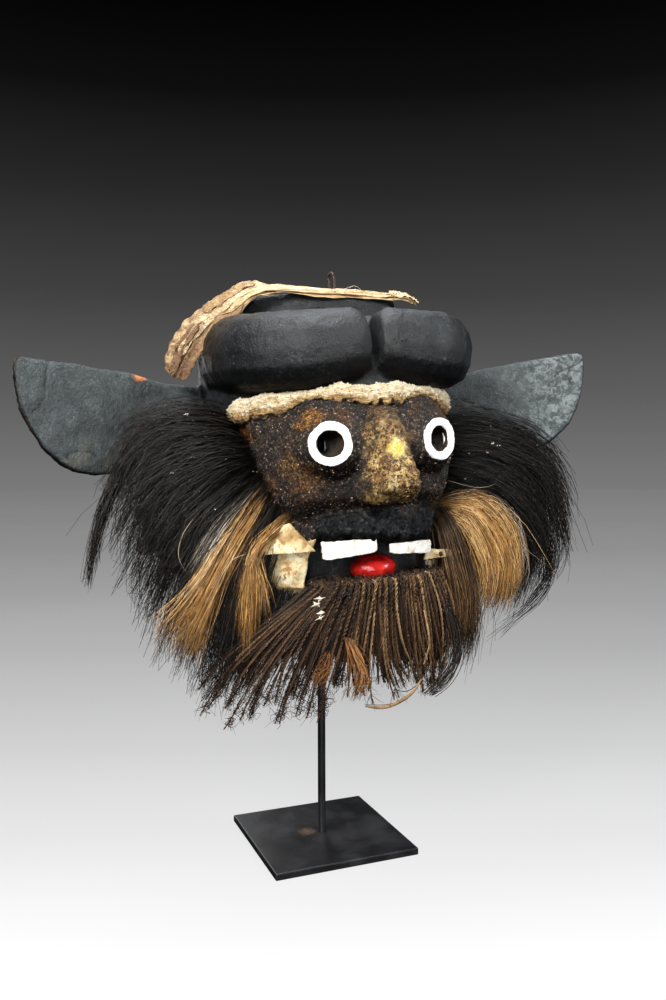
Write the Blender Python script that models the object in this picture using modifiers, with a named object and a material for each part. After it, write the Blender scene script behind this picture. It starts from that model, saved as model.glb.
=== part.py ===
"""A carved face mask with a rolled brow, two blade-shaped ears, fur and a fibre beard, on a steel rod stand.

Metres, +Z up, the mask looks along -Y, and the origin is under the middle of the stand's plate.
The mask is laid out in its own frame: its origin is on the stand's axis at the height of the eyes,
and an empty leans that frame a little to one side, as the mask sits on its rod.
Left and right are the mask's own, so its right side has the lower X.
"""

import math
import random

import bmesh
import bpy
from mathutils import Matrix, Vector

# The stand: a square plate and a round rod let into it.
PLATE_SIDE = 0.150
PLATE_THICKNESS = 0.007
PLATE_BEVEL = 0.0012
ROD_RADIUS = 0.004
SOCKET_DEPTH = 0.004

# The gap kept between two pieces that touch.
FIT_GAP = 0.0003

# How the mask sits on the stand.
EYE_HEIGHT = 0.410
MASK_LEAN = math.radians(3.0)
MASK_SHIFT = -0.003

# The carved head: half its width, and its depth from the rim to the brow.
HEAD_HALF_WIDTH = 0.122
HEAD_DEPTH = 0.160
CHIN_DROP = 0.158
CROWN_RISE = 0.145
RIM_Y = 0.012
RIM_BEND = 0.004
CHIN_RIM_Y = -0.034
WALL = 0.013
FACE_WALL = 0.026

# The rolled brow, one lobe on each side of a notch.
LOBE_RADIUS = 0.028
LOBE_END_RADIUS = 0.0245
LOBE_CLEFT = 0.007
LOBE_SQUARE = 3.7
LOBE_STRETCH = 1.28
LOBE_SIDE_PROUD = 0.008
LOBE_FRONT_PROUD = 0.016
LOBE_LEFT_EXTRA = 0.006
LOBE_RISE = 0.088
LOBE_DROOP = 0.006

# The crown behind the brow.
CROWN_HALF_WIDTH = 0.088
CROWN_FRONT = 0.062
CROWN_HEIGHT = 0.060
CEILING_SHARE = 0.78

# Eyes: round bosses with a hole through each.
EYE_SPREAD = 0.051
EYE_PROUD = 0.003
EYE_FRONT = HEAD_DEPTH + EYE_PROUD
EYE_TURN = math.radians(19.0)
EYE_RING_RADIUS = 0.0190
EYE_HOLE_RADIUS = 0.0105
EYE_HOLE_BACK_RADIUS = 0.0080
EYE_RING_RISE = 0.0018

# Nose, lip and mouth.
NOSE_TOP = 0.030
NOSE_BOTTOM = 0.052
NOSE_HALF_WIDTH = 0.026
NOSE_PROUD = 0.036
NOSE_TIP = HEAD_DEPTH + NOSE_PROUD
LIP_RADIUS = 0.0115
LIP_DROP = 0.073
LIP_HALF_WIDTH = 0.056
LIP_SETBACK = 0.010
LIP_FRONT = HEAD_DEPTH - LIP_SETBACK
MOUTH_TOP = 0.084
MOUTH_BOTTOM = 0.121
MOUTH_HALF_WIDTH = 0.057
MOUTH_DEPTH = 0.062
MOUTH_BACK = HEAD_DEPTH - MOUTH_DEPTH

# Teeth, tongue.
TOOTH_HEIGHT = 0.0115
TOOTH_THICKNESS = 0.004
TOOTH_GAP_HALF = 0.0068
TOOTH_END = MOUTH_HALF_WIDTH - 0.004
TOOTH_FRONT = LIP_FRONT
TOOTH_BEND = 0.013
TOOTH_DROOP = 0.005
TONGUE_HALF_WIDTH = 0.022
TONGUE_LENGTH = 0.042
TONGUE_RISE = 0.021
TONGUE_SETBACK = 0.006
TONGUE_FRONT = LIP_FRONT - TONGUE_SETBACK

# Ears: half-moon blades that swing forward from the rim.
EAR_LENGTH = 0.177
EAR_HEIGHT = 0.106
EAR_LOW = 0.018
EAR_THICKNESS = 0.011
EAR_ROOT_OUT = 0.003
EAR_SWING = math.radians(18.8)

# The band under the brow.
BAND_HEIGHT = 0.021
BAND_THICKNESS = 0.008
BAND_RISE = 0.032
BAND_SAG = 0.008
BAND_REACH = math.radians(66.0)

# The dried leaf strip over the crown.
STRIP_WIDTH = 0.027
STRIP_THICKNESS = 0.0055

# The wire loop on the crown.
LOOP_WIRE_RADIUS = 0.0015
LOOP_SPAN = 0.014
LOOP_RISE = 0.024
LOOP_DEPTH = 0.012
LOOP_Y = -0.0325

# Hide flaps at the corners of the mouth, and the tacks that hold them.
HIDE_THICKNESS = 0.0016
HIDE_BOW = 0.003
TACK_RADIUS = 0.0026
TACK_RISE = 0.0018

# The beard of cords under the mouth.
BEARD_OVER_MOUTH = 0.003
BEARD_HALF_WIDTH = MOUTH_HALF_WIDTH + BEARD_OVER_MOUTH
BEARD_UNDER_MOUTH = 0.005
BEARD_TOP = MOUTH_BOTTOM + BEARD_UNDER_MOUTH
BEARD_SETBACK = 0.004
BEARD_FRONT = LIP_FRONT - BEARD_SETBACK
BEARD_BEND = 0.018
BEARD_LENGTH = 0.118
BEARD_BACKSET = 0.022
BEARD_CORD = 0.0062

# Fur: the thickness of a lock, how far locks stray, and the room left between masses of fur.
BLACK_LOCK = 0.0130
TAN_LOCK = 0.0082
LOCK_STRAY = 0.012
FUR_GAP = 0.0006

FIT_SOLVER = "EXACT"

# Grid sizes of the fused forms, and their triangle budgets.
CARVING_GRID = 0.0026
CARVING_TRIANGLES = 2100
FUR_GRID = 0.0042
FUR_TRIANGLES = 560
TUFT_TRIANGLES = 210
BEARD_TRIANGLES = 860

BLACK_WOOD = ((0.018, 0.019, 0.021), 0.55, 0.0)
BLACK_STEEL = ((0.010, 0.010, 0.011), 0.38, 0.9)
BLACK_FUR = ((0.014, 0.012, 0.011), 0.6, 0.0)
TAN_FUR = ((0.42, 0.23, 0.09), 0.6, 0.0)
BROWN_FIBRE = ((0.10, 0.055, 0.03), 0.8, 0.0)
PALE_HIDE = ((0.72, 0.60, 0.38), 0.7, 0.0)
PALE_BAND = ((0.72, 0.62, 0.45), 0.9, 0.0)
DRY_LEAF = ((0.70, 0.55, 0.33), 0.75, 0.0)
WHITE_PAINT = ((0.85, 0.84, 0.80), 0.5, 0.0)
RED_PAINT = ((0.45, 0.015, 0.02), 0.25, 0.0)
DARK_IRON = ((0.06, 0.045, 0.035), 0.5, 0.8)

# The ear's outline from the top of its root, out to the tip and back under, as shares of its length and
# height.
EAR_OUTLINE = (
    (-0.10, 0.74),
    (0.15, 0.79),
    (0.38, 0.88),
    (0.69, 0.95),
    (0.97, 1.00),
    (1.00, 0.95),
    (1.00, 0.78),
    (0.98, 0.58),
    (0.94, 0.40),
    (0.88, 0.23),
    (0.79, 0.10),
    (0.71, 0.03),
    (0.62, 0.00),
    (0.45, 0.00),
    (0.20, 0.05),
    (-0.20, 0.12),
)

# The head's level sections, chin to brow: height as a share of the chin's drop or of the crown's rise,
# then half width and depth as shares of the head's, then how square the section is.
HEAD_SECTIONS = (
    (-1.00, 0.30, 0.60, 2.2),
    (-0.94, 0.46, 0.80, 2.6),
    (-0.78, 0.62, 0.93, 3.2),
    (-0.58, 0.70, 0.92, 3.4),
    (-0.42, 0.715, 0.95, 3.4),
    (-0.30, 0.74, 1.03, 3.8),
    (-0.10, 0.78, 1.07, 4.0),
    (0.04, 0.80, 1.065, 3.8),
    (0.14, 0.87, 1.04, 2.8),
    (0.24, 0.98, 0.99, 2.15),
    (0.42, 0.99, 0.97, 2.05),
    (0.62, 0.98, 0.90, 2.0),
    (0.78, 0.94, 0.74, 2.1),
    (0.82, 0.86, 0.66, 2.2),
)


def section_at(height):
    """Half width, depth and squareness of the head at a height above the eyes."""
    share = height / (CROWN_RISE if height > 0 else CHIN_DROP)
    share = min(max(share, HEAD_SECTIONS[0][0]), HEAD_SECTIONS[-1][0])
    for low, high in zip(HEAD_SECTIONS, HEAD_SECTIONS[1:]):
        if share <= high[0]:
            part = (share - low[0]) / (high[0] - low[0])
            width, depth, square = (a + (b - a) * part for a, b in zip(low[1:], high[1:]))
            return width * HEAD_HALF_WIDTH, depth * HEAD_DEPTH, square


def round_point(width, depth, square, angle, height):
    """A point of a rounded half section whose straight side lies on the rim."""
    sine, cosine = math.sin(angle), max(math.cos(angle), 0.0)
    x = math.copysign(width * abs(sine) ** (2 / square), sine)
    return Vector((x, RIM_Y - depth * cosine ** (2 / square), height))


def skin(angle, height, proud=0.0):
    """The point of the head's surface at an angle from straight ahead, so far proud of the surface."""
    width, depth, square = section_at(height)
    return round_point(width + proud, depth + proud, square, angle, height)


def collection(name, hidden=False):
    made = bpy.data.collections.new(name)
    bpy.context.scene.collection.children.link(made)
    made.hide_render = hidden
    return made


def material(name, look):
    colour, roughness, metallic = look
    made = bpy.data.materials.new(name)
    made.use_nodes = True
    made.diffuse_color = (*colour, 1.0)
    shader = made.node_tree.nodes["Principled BSDF"]
    shader.inputs["Base Color"].default_value = (*colour, 1.0)
    shader.inputs["Roughness"].default_value = roughness
    shader.inputs["Metallic"].default_value = metallic
    return made


def add_object(name, mesh, group, parent=None):
    made = bpy.data.objects.new(name, mesh)
    group.objects.link(made)
    made.parent = parent
    return made


def mesh_of(bm, name):
    bmesh.ops.recalc_face_normals(bm, faces=bm.faces)
    mesh = bpy.data.meshes.new(name)
    bm.to_mesh(mesh)
    bm.free()
    return mesh


def loft(rings):
    """A closed bmesh through rings of equal length, with its two ends capped."""
    bm = bmesh.new()
    rows = [[bm.verts.new(point) for point in ring] for ring in rings]
    count = len(rows[0])
    for low, high in zip(rows, rows[1:]):
        for i in range(count):
            j = (i + 1) % count
            bm.faces.new((low[i], low[j], high[j], high[i]))
    bm.faces.new(rows[0])
    bm.faces.new(reversed(rows[-1]))
    bmesh.ops.recalc_face_normals(bm, faces=bm.faces)
    return bm


def evaluated_mesh(obj):
    """The object's mesh with its modifiers applied, in its own frame."""
    bpy.context.view_layer.update()
    graph = bpy.context.evaluated_depsgraph_get()
    return bpy.data.meshes.new_from_object(obj.evaluated_get(graph))


def settle(obj):
    """Applies the object's modifiers."""
    mesh = evaluated_mesh(obj)
    obj.modifiers.clear()
    old, obj.data = obj.data, mesh
    bpy.data.meshes.remove(old)
    return obj


def fuse(obj, grid, triangles, smoothing=2):
    """Makes the overlapping shapes of one object a single body, smoothed and then thinned to a budget."""
    remesh = obj.modifiers.new("fuse", "REMESH")
    remesh.mode = "VOXEL"
    remesh.voxel_size = grid
    if smoothing:
        smooth = obj.modifiers.new("smooth", "SMOOTH")
        smooth.iterations = smoothing
        smooth.factor = 0.5
    settle(obj)
    keep_largest_body(obj)
    count = sum(len(face.vertices) - 2 for face in obj.data.polygons)
    if count > triangles:
        thin = obj.modifiers.new("thin", "DECIMATE")
        thin.ratio = triangles / count
        settle(obj)
    return obj


def boolean(obj, other, operation, solver="EXACT"):
    cut = obj.modifiers.new("cut", "BOOLEAN")
    cut.operation = operation
    cut.solver = solver
    cut.object = other
    return settle(obj)


def keep_largest_body(obj):
    """Drops the crumbs that a cut leaves beside the main body."""
    bm = bmesh.new()
    bm.from_mesh(obj.data)
    bodies, seen = [], set()
    for start in bm.verts:
        if start in seen:
            continue
        body, front = set(), [start]
        while front:
            vert = front.pop()
            if vert in body:
                continue
            body.add(vert)
            front.extend(edge.other_vert(vert) for edge in vert.link_edges)
        seen |= body
        bodies.append(body)
    largest = max(bodies, key=len)
    bmesh.ops.delete(bm, geom=[v for v in bm.verts if v not in largest], context="VERTS")
    bm.to_mesh(obj.data)
    bm.free()


def clearance_copy(obj, group, gap=FIT_GAP):
    """A hidden copy of a piece, swollen by the gap, which cuts room for it in its neighbours.

    The swelling follows the corners' normals, so it is set above the gap to keep the gap along flat sides.
    """
    copy = add_object("room_for_" + obj.name, obj.data.copy(), group)
    copy.display_type = "WIRE"
    copy.hide_render = True
    swell = copy.modifiers.new("swell", "DISPLACE")
    swell.mid_level = 0.0
    swell.strength = gap * 1.6
    return settle(copy)


def extent(obj):
    points = [vert.co for vert in obj.data.vertices]
    return [(min(p[i] for p in points), max(p[i] for p in points)) for i in range(3)]


def fit_round(obj, *rooms):
    """Cuts a piece back so that it meets its neighbours face to face."""
    for room in rooms:
        spans = zip(extent(obj), extent(room))
        if all(a[0] < b[1] and b[0] < a[1] for a, b in spans):
            boolean(obj, room, "DIFFERENCE", FIT_SOLVER)
    bm = bmesh.new()
    bm.from_mesh(obj.data)
    bmesh.ops.dissolve_degenerate(bm, edges=bm.edges, dist=1e-5)
    bm.to_mesh(obj.data)
    bm.free()
    keep_largest_body(obj)
    return obj


def finish(obj, look, parent, group):
    """Names the mesh, gives it its material, smooth shading and its place."""
    obj.data.name = obj.name
    obj.data.materials.clear()
    obj.data.materials.append(look)
    obj.data.shade_smooth()
    obj.data.set_sharp_from_angle(angle=math.radians(35))
    obj.parent = parent
    if obj.name not in group.objects:
        group.objects.link(obj)
    return obj


def swept_splines(name, routes, group, sides=2):
    """One mesh object of round tapered tubes: each route is a list of (point, radius)."""
    curve = bpy.data.curves.new(name, "CURVE")
    curve.dimensions = "3D"
    curve.bevel_depth = 1.0
    curve.bevel_resolution = sides
    curve.use_fill_caps = True
    for route in routes:
        spline = curve.splines.new("POLY")
        spline.points.add(len(route) - 1)
        for target, (point, radius) in zip(spline.points, route):
            target.co = (*point, 1.0)
            target.radius = radius
    drawn = add_object(name + "_route", curve, group)
    mesh = evaluated_mesh(drawn)
    bpy.data.objects.remove(drawn)
    bm = bmesh.new()
    bm.from_mesh(mesh)
    bmesh.ops.remove_doubles(bm, verts=bm.verts, dist=1e-6)
    bm.to_mesh(mesh)
    bm.free()
    return add_object(name, mesh, group)


def head_form(side_wall=0.0, front_wall=0.0, low=-1.0, high=1.0, back=0.0):
    """The head's plain form, or its hollow when it is drawn in by walls, as a loft of level sections."""
    steps = 20
    rings = []
    for share in [row[0] for row in HEAD_SECTIONS]:
        if not low <= share <= high:
            continue
        height = share * (CROWN_RISE if share > 0 else CHIN_DROP)
        width, depth, square = section_at(height)
        ring = []
        for i in range(steps + 1):
            angle = math.pi * (i / steps - 0.5)
            ring.append(round_point(width - side_wall, depth - front_wall, square, angle, height))
        left, right = ring[-1].copy(), ring[0].copy()
        left.y = right.y = RIM_Y + back
        rings.append(ring + [left, right])
    return loft(rings)


def crown_form():
    """The block behind the brow, flat on top."""
    steps, square = 20, 2.8
    bottom = CROWN_RISE - CROWN_HEIGHT
    rings = []
    for height, inset in ((bottom, 0.0), (CROWN_RISE - 0.004, 0.0), (CROWN_RISE, 0.003)):
        width, depth = CROWN_HALF_WIDTH - inset, CROWN_FRONT + RIM_Y - inset
        ring = []
        for i in range(steps + 1):
            ring.append(round_point(width, depth, square, math.pi * (i / steps - 0.5), height))
        back = [Vector((width, RIM_Y + 0.002, height)), Vector((-width, RIM_Y + 0.002, height))]
        rings.append(ring + back)
    return loft(rings)


def lobe_routes():
    """The two rolls of the brow, from the notch round to the rim, before they are stretched upwards."""
    routes = []
    for side in (-1, 1):
        route = []
        for i in range(15):
            part = i / 14
            radius = LOBE_END_RADIUS + (LOBE_RADIUS - LOBE_END_RADIUS) * min(1.0, part / 0.45) ** 0.8
            width = HEAD_HALF_WIDTH + LOBE_SIDE_PROUD - radius
            depth = HEAD_DEPTH + LOBE_FRONT_PROUD - radius
            if side > 0:
                width += LOBE_LEFT_EXTRA
            if i == 0:
                radius *= 0.80
            power = 2 / LOBE_SQUARE
            start = math.asin((LOBE_CLEFT / 2 / width) ** (1 / power))
            angle = start + (math.radians(86.0) - start) * part**1.6
            x = side * width * math.sin(angle) ** power
            point = Vector((x, RIM_Y - depth * math.cos(angle) ** power, 0.0))
            point.z = (LOBE_RISE - LOBE_DROOP * math.sin(math.pi * part)) / LOBE_STRETCH
            route.append((point, radius))
        routes.append(route)
    return routes


def eye_axis(side):
    return Vector((side * math.sin(EYE_TURN), -math.cos(EYE_TURN), 0.0))


def eye_centre(side):
    return Vector((side * EYE_SPREAD, -EYE_FRONT, 0.0))


def turned_along(axis):
    """A rotation that takes +Z to the axis."""
    return axis.to_track_quat("Z", "Y").to_matrix().to_4x4()


def cylinder(name, start, end, radius, group, radius_end=None, sides=28):
    """A round bar or cone between two points."""
    bm = bmesh.new()
    axis = end - start
    bmesh.ops.create_cone(
        bm,
        cap_ends=True,
        segments=sides,
        radius1=radius,
        radius2=radius if radius_end is None else radius_end,
        depth=axis.length,
    )
    bmesh.ops.transform(bm, matrix=turned_along(axis.normalized()), verts=bm.verts)
    bmesh.ops.translate(bm, vec=(start + end) / 2, verts=bm.verts)
    return add_object(name, mesh_of(bm, name), group)


def nose_form():
    """A broad wedge: narrow at the root, full at the tip, and cut under."""
    rows = (
        (NOSE_TOP, 0.70, 0.36, NOSE_TIP - 0.034),
        (NOSE_TOP * 0.35, 0.74, 0.40, NOSE_TIP - 0.018),
        (-NOSE_BOTTOM * 0.35, 0.86, 0.52, NOSE_TIP - 0.006),
        (-NOSE_BOTTOM * 0.72, 1.00, 0.66, NOSE_TIP),
        (-NOSE_BOTTOM, 0.90, 0.58, NOSE_TIP - 0.012),
    )
    base = HEAD_DEPTH - RIM_Y - 0.030
    rings = []
    for height, foot, ridge, front in rows:
        outer, inner = foot * NOSE_HALF_WIDTH, ridge * NOSE_HALF_WIDTH
        middle = -(base + front) / 2 - 0.010
        ring = (
            (-outer, -base),
            (-outer, middle),
            (-inner, -front),
            (0.0, -front - 0.003),
            (inner, -front),
            (outer, middle),
            (outer, -base),
        )
        rings.append([Vector((x, y, height)) for x, y in ring])
    return loft(rings)


def lip_route(height, radius, half_width, front):
    """A roll across the mouth that follows the curve of the face."""
    route = []
    for i in range(9):
        part = i / 4 - 1
        bend = front * (1 - math.sqrt(max(1 - (part * 0.42) ** 2, 0.0)))
        end = 0.8 if abs(part) == 1 else 1.0
        route.append((Vector((part * half_width, -front + radius + bend, height)), radius * end))
    return route


def ear_frame(side):
    """The ear's own frame: X runs out from the root, Z up, and Y through its thickness."""
    root = Vector((side * (HEAD_HALF_WIDTH + EAR_ROOT_OUT), 0.0, -EAR_LOW))
    turn = Matrix.Rotation(-side * EAR_SWING, 4, "Z")
    return Matrix.Translation(root) @ turn @ Matrix.Diagonal((side, 1.0, 1.0, 1.0))


def ear(side, group):
    """One blade, eased along its edges."""
    outline = [(x * EAR_LENGTH, z * EAR_HEIGHT) for x, z in EAR_OUTLINE]
    middle = Vector((EAR_LENGTH * 0.5, 0.0, EAR_HEIGHT * 0.5))
    rings = []
    for y, inset in ((-0.5, 0.0028), (-0.25, 0.0), (0.25, 0.0), (0.5, 0.0028)):
        ring = []
        for x, z in outline:
            arm = Vector((x, 0.0, z)) - middle
            point = middle + arm * (1 - inset / arm.length)
            ring.append(Vector((point.x, y * EAR_THICKNESS, point.z)))
        rings.append(ring)
    bm = loft(rings)
    bmesh.ops.transform(bm, matrix=ear_frame(side), verts=bm.verts)
    return add_object("ear_form", mesh_of(bm, "ear_form"), group)


def carve_mask(look, parent, group, cutters):
    """The head, brow, crown, nose, lip, eye bosses and ears, cut from one block and hollowed behind."""
    mask = swept_splines("carved_mask", lobe_routes(), group, sides=5)
    mask.data.transform(Matrix.Diagonal((1.0, 1.0, LOBE_STRETCH, 1.0)))
    forms = [head_form(), crown_form(), nose_form()]
    rolls = [
        lip_route(-LIP_DROP, LIP_RADIUS, LIP_HALF_WIDTH, LIP_FRONT + 0.004),
        lip_route(-MOUTH_BOTTOM - 0.009, 0.009, MOUTH_HALF_WIDTH, LIP_FRONT - 0.002),
        lip_route(-0.008, 0.026, EYE_SPREAD + 0.014, EYE_FRONT - 0.002),
    ]
    extras = [swept_splines("rolls", rolls, group, sides=4)]
    for side in (-1, 1):
        front = eye_centre(side)
        back = front - eye_axis(side) * 0.030
        extras.append(cylinder("boss", back, front, EYE_RING_RADIUS + 0.028, group, EYE_RING_RADIUS + 0.002))
    bm = bmesh.new()
    bm.from_mesh(mask.data)
    for form in forms:
        scrap = bpy.data.meshes.new("form")
        form.to_mesh(scrap)
        form.free()
        bm.from_mesh(scrap)
        bpy.data.meshes.remove(scrap)
    for extra in extras:
        bm.from_mesh(extra.data)
        bpy.data.objects.remove(extra)
    bm.to_mesh(mask.data)
    bm.free()
    fuse(mask, CARVING_GRID, CARVING_TRIANGLES, smoothing=4)

    for side in (-1, 1):
        blade = ear(side, cutters)
        boolean(mask, blade, "UNION")
        bpy.data.objects.remove(blade)
        front = eye_centre(side)
        axis = eye_axis(side)
        ring = cylinder("ring", front - axis * 0.012, front + axis * EYE_RING_RISE, EYE_RING_RADIUS, cutters)
        boolean(mask, ring, "UNION")
        bpy.data.objects.remove(ring)

    bm = head_form(WALL, FACE_WALL, low=-0.95, high=CEILING_SHARE, back=0.040)
    hollow = add_object("hollow", mesh_of(bm, "hollow"), cutters)
    low = (-HEAD_HALF_WIDTH, -HEAD_DEPTH - 0.090, -MOUTH_BOTTOM - WALL)
    high = (HEAD_HALF_WIDTH, -MOUTH_BACK + WALL, -MOUTH_TOP + WALL)
    backing = box_between("backing", low, high, cutters)
    boolean(hollow, backing, "DIFFERENCE")
    bpy.data.objects.remove(backing)
    boolean(mask, hollow, "DIFFERENCE")
    bpy.data.objects.remove(hollow)
    for side in (-1, 1):
        front = eye_centre(side)
        start = front - Vector((0.0, 0.015, 0.0))
        end = front + Vector((0.0, 0.070, 0.0))
        taper = (EYE_HOLE_RADIUS - EYE_HOLE_BACK_RADIUS) / (FACE_WALL + 0.010)
        radii = (EYE_HOLE_RADIUS + taper * 0.015, EYE_HOLE_RADIUS - taper * 0.070)
        bore = cylinder("bore", start, end, radii[0], cutters, radii[1])
        boolean(mask, bore, "DIFFERENCE")
        bpy.data.objects.remove(bore)
    for cutter in (mouth_cutter(cutters), rim_cutter(cutters), *loop_holes(cutters)):
        boolean(mask, cutter, "DIFFERENCE")
        bpy.data.objects.remove(cutter)
    keep_largest_body(mask)
    return finish(mask, look, parent, group)


def box_between(name, low, high, group):
    bm = bmesh.new()
    bmesh.ops.create_cube(bm, size=1.0)
    size = Vector(high) - Vector(low)
    bmesh.ops.scale(bm, vec=size, verts=bm.verts)
    bmesh.ops.translate(bm, vec=(Vector(low) + Vector(high)) / 2, verts=bm.verts)
    return add_object(name, mesh_of(bm, name), group)


def mouth_cutter(group):
    """The mouth is a deep recess, closed at the back by a wall."""
    low = (-MOUTH_HALF_WIDTH, -HEAD_DEPTH - 0.070, -MOUTH_BOTTOM)
    high = (MOUTH_HALF_WIDTH, -MOUTH_BACK, -MOUTH_TOP)
    return box_between("mouth", low, high, group)


def rim_cutter(group):
    """Trims the back to a rim that turns forward below the eyes, so that the rod clears the chin."""
    top, bottom = CROWN_RISE + 0.050, -CHIN_DROP
    slope = (RIM_Y - CHIN_RIM_Y) / (RIM_BEND + CHIN_DROP)
    rows = [(CHIN_RIM_Y - 0.020 * slope, bottom - 0.020), (RIM_Y + 0.0005, RIM_BEND), (RIM_Y + 0.0005, top)]
    half = HEAD_HALF_WIDTH - 0.004
    rings = []
    for x in (-half, half):
        ring = [Vector((x, y, z)) for y, z in rows]
        ring += [Vector((x, RIM_Y + 0.060, top)), Vector((x, RIM_Y + 0.060, bottom - 0.020))]
        rings.append(ring)
    return add_object("rim", mesh_of(loft(rings), "rim"), group)


def loop_feet():
    """Where the two legs of the wire loop meet the top of the crown."""
    x = -MASK_SHIFT + CROWN_RISE * math.sin(MASK_LEAN)
    return [Vector((x, LOOP_Y + end * LOOP_SPAN / 2, CROWN_RISE)) for end in (-1, 1)]


def loop_holes(group):
    down = Vector((0.0, 0.0, LOOP_DEPTH + FIT_GAP))
    up = Vector((0.0, 0.0, 0.005))
    radius = LOOP_WIRE_RADIUS + FIT_GAP
    return [cylinder("loop_hole", foot - down, foot + up, radius, group, sides=16) for foot in loop_feet()]


def hanging_loop(look, parent, group):
    """A bent wire: two legs in the crown and a round top between them."""
    front, back = loop_feet()
    down = Vector((0.0, 0.0, LOOP_DEPTH))
    middle = (front + back) / 2
    arch = LOOP_SPAN / 2
    route = [front - down, front]
    for i in range(11):
        angle = math.pi * i / 10
        rise = LOOP_RISE - arch + arch * math.sin(angle)
        route.append(middle + Vector((0.0, -arch * math.cos(angle), rise)))
    route += [back, back - down]
    wire = swept_splines("hanging_loop", [[(point, LOOP_WIRE_RADIUS) for point in route]], group, sides=2)
    return finish(wire, look, parent, group)


def base_plate(look, group, cutters):
    plate = box_between(
        "base_plate",
        (-PLATE_SIDE / 2, -PLATE_SIDE / 2, 0.0),
        (PLATE_SIDE / 2, PLATE_SIDE / 2, PLATE_THICKNESS),
        group,
    )
    edge = plate.modifiers.new("edge", "BEVEL")
    edge.width = PLATE_BEVEL
    edge.segments = 2
    settle(plate)
    floor = Vector((0.0, 0.0, PLATE_THICKNESS - SOCKET_DEPTH))
    over = Vector((0.0, 0.0, PLATE_THICKNESS + 0.005))
    socket = cylinder("socket", floor, over, ROD_RADIUS + FIT_GAP, cutters)
    boolean(plate, socket, "DIFFERENCE")
    bpy.data.objects.remove(socket)
    return finish(plate, look, None, group)


def rod_top():
    """The height at which the rod's flat end meets the leaning ceiling of the hollow."""
    ceiling = CROWN_RISE * CEILING_SHARE
    lowest = -(ROD_RADIUS + MASK_SHIFT) * math.tan(MASK_LEAN)
    return EYE_HEIGHT + ceiling / math.cos(MASK_LEAN) + lowest - FIT_GAP


def stand_rod(look, group):
    foot = Vector((0.0, 0.0, PLATE_THICKNESS - SOCKET_DEPTH + FIT_GAP))
    rod = cylinder("stand_rod", foot, Vector((0.0, 0.0, rod_top())), ROD_RADIUS, group, sides=32)
    return finish(rod, look, None, group)


# The band's section: height as a share of half its height, and how proud it is as a share of its thickness.
BAND_PROFILE = ((-1.0, -0.002), (-1.0, 0.55), (-0.6, 1.0), (0.6, 1.0), (1.0, 0.55), (1.0, -0.002))


def brow_band(look, parent, group, *rooms):
    """A fibre strip bent round the forehead."""
    steps = 18
    rings = []
    for i in range(steps + 1):
        part = i / steps
        angle = BAND_REACH * (2 * part - 1)
        ease = min(1.0, 12 * min(part, 1 - part) + 0.55)
        wave = 0.0012 * math.sin(37 * part) + 0.0008 * math.sin(83 * part)
        half = BAND_HEIGHT / 2 * ease
        middle = BAND_RISE + BAND_SAG * (1 - abs(2 * part - 1) ** 1.6)
        thick = BAND_THICKNESS * ease + wave
        ring = []
        for height, proud in BAND_PROFILE:
            out = proud * thick if proud > 0 else proud
            base = skin(angle, middle, out)
            base.z = middle + height * half + wave * height
            ring.append(base)
        rings.append(ring)
    band = add_object("brow_band", mesh_of(loft(rings), "brow_band"), group)
    return finish(fit_round(band, *rooms), look, parent, group)


def tooth(name, side, look, parent, group, *rooms):
    """A flat strip under the lip, from the middle gap to the corner of the mouth."""
    rings = []
    for part in (0.0, 0.08, 0.5, 0.92, 1.0):
        x = TOOTH_GAP_HALF + (TOOTH_END - TOOTH_GAP_HALF) * part
        front = -TOOTH_FRONT + TOOTH_BEND * (x / TOOTH_END) ** 2
        top = -MOUTH_TOP - FIT_GAP
        low = top - TOOTH_HEIGHT - TOOTH_DROOP * part
        low += 0.0015 if part in (0.0, 1.0) else 0.0
        corners = ((front, top), (front, low), (front + TOOTH_THICKNESS, low), (front + TOOTH_THICKNESS, top))
        rings.append([Vector((side * x, y, z)) for y, z in corners])
    piece = add_object(name, mesh_of(loft(rings), name), group)
    return finish(fit_round(piece, *rooms), look, parent, group)


def tongue(look, parent, group, *rooms):
    """A rounded red pad on the floor of the mouth."""
    bm = bmesh.new()
    bmesh.ops.create_uvsphere(bm, u_segments=20, v_segments=10, radius=1.0)
    half = (TONGUE_HALF_WIDTH, TONGUE_LENGTH / 2, TONGUE_RISE * 0.62)
    bmesh.ops.scale(bm, vec=half, verts=bm.verts)
    place = Vector((0.0, -TONGUE_FRONT + half[1], -MOUTH_BOTTOM + TONGUE_RISE - half[2]))
    bmesh.ops.translate(bm, vec=place, verts=bm.verts)
    pad = add_object("tongue", mesh_of(bm, "tongue"), group)
    return finish(fit_round(pad, *rooms), look, parent, group)


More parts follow.
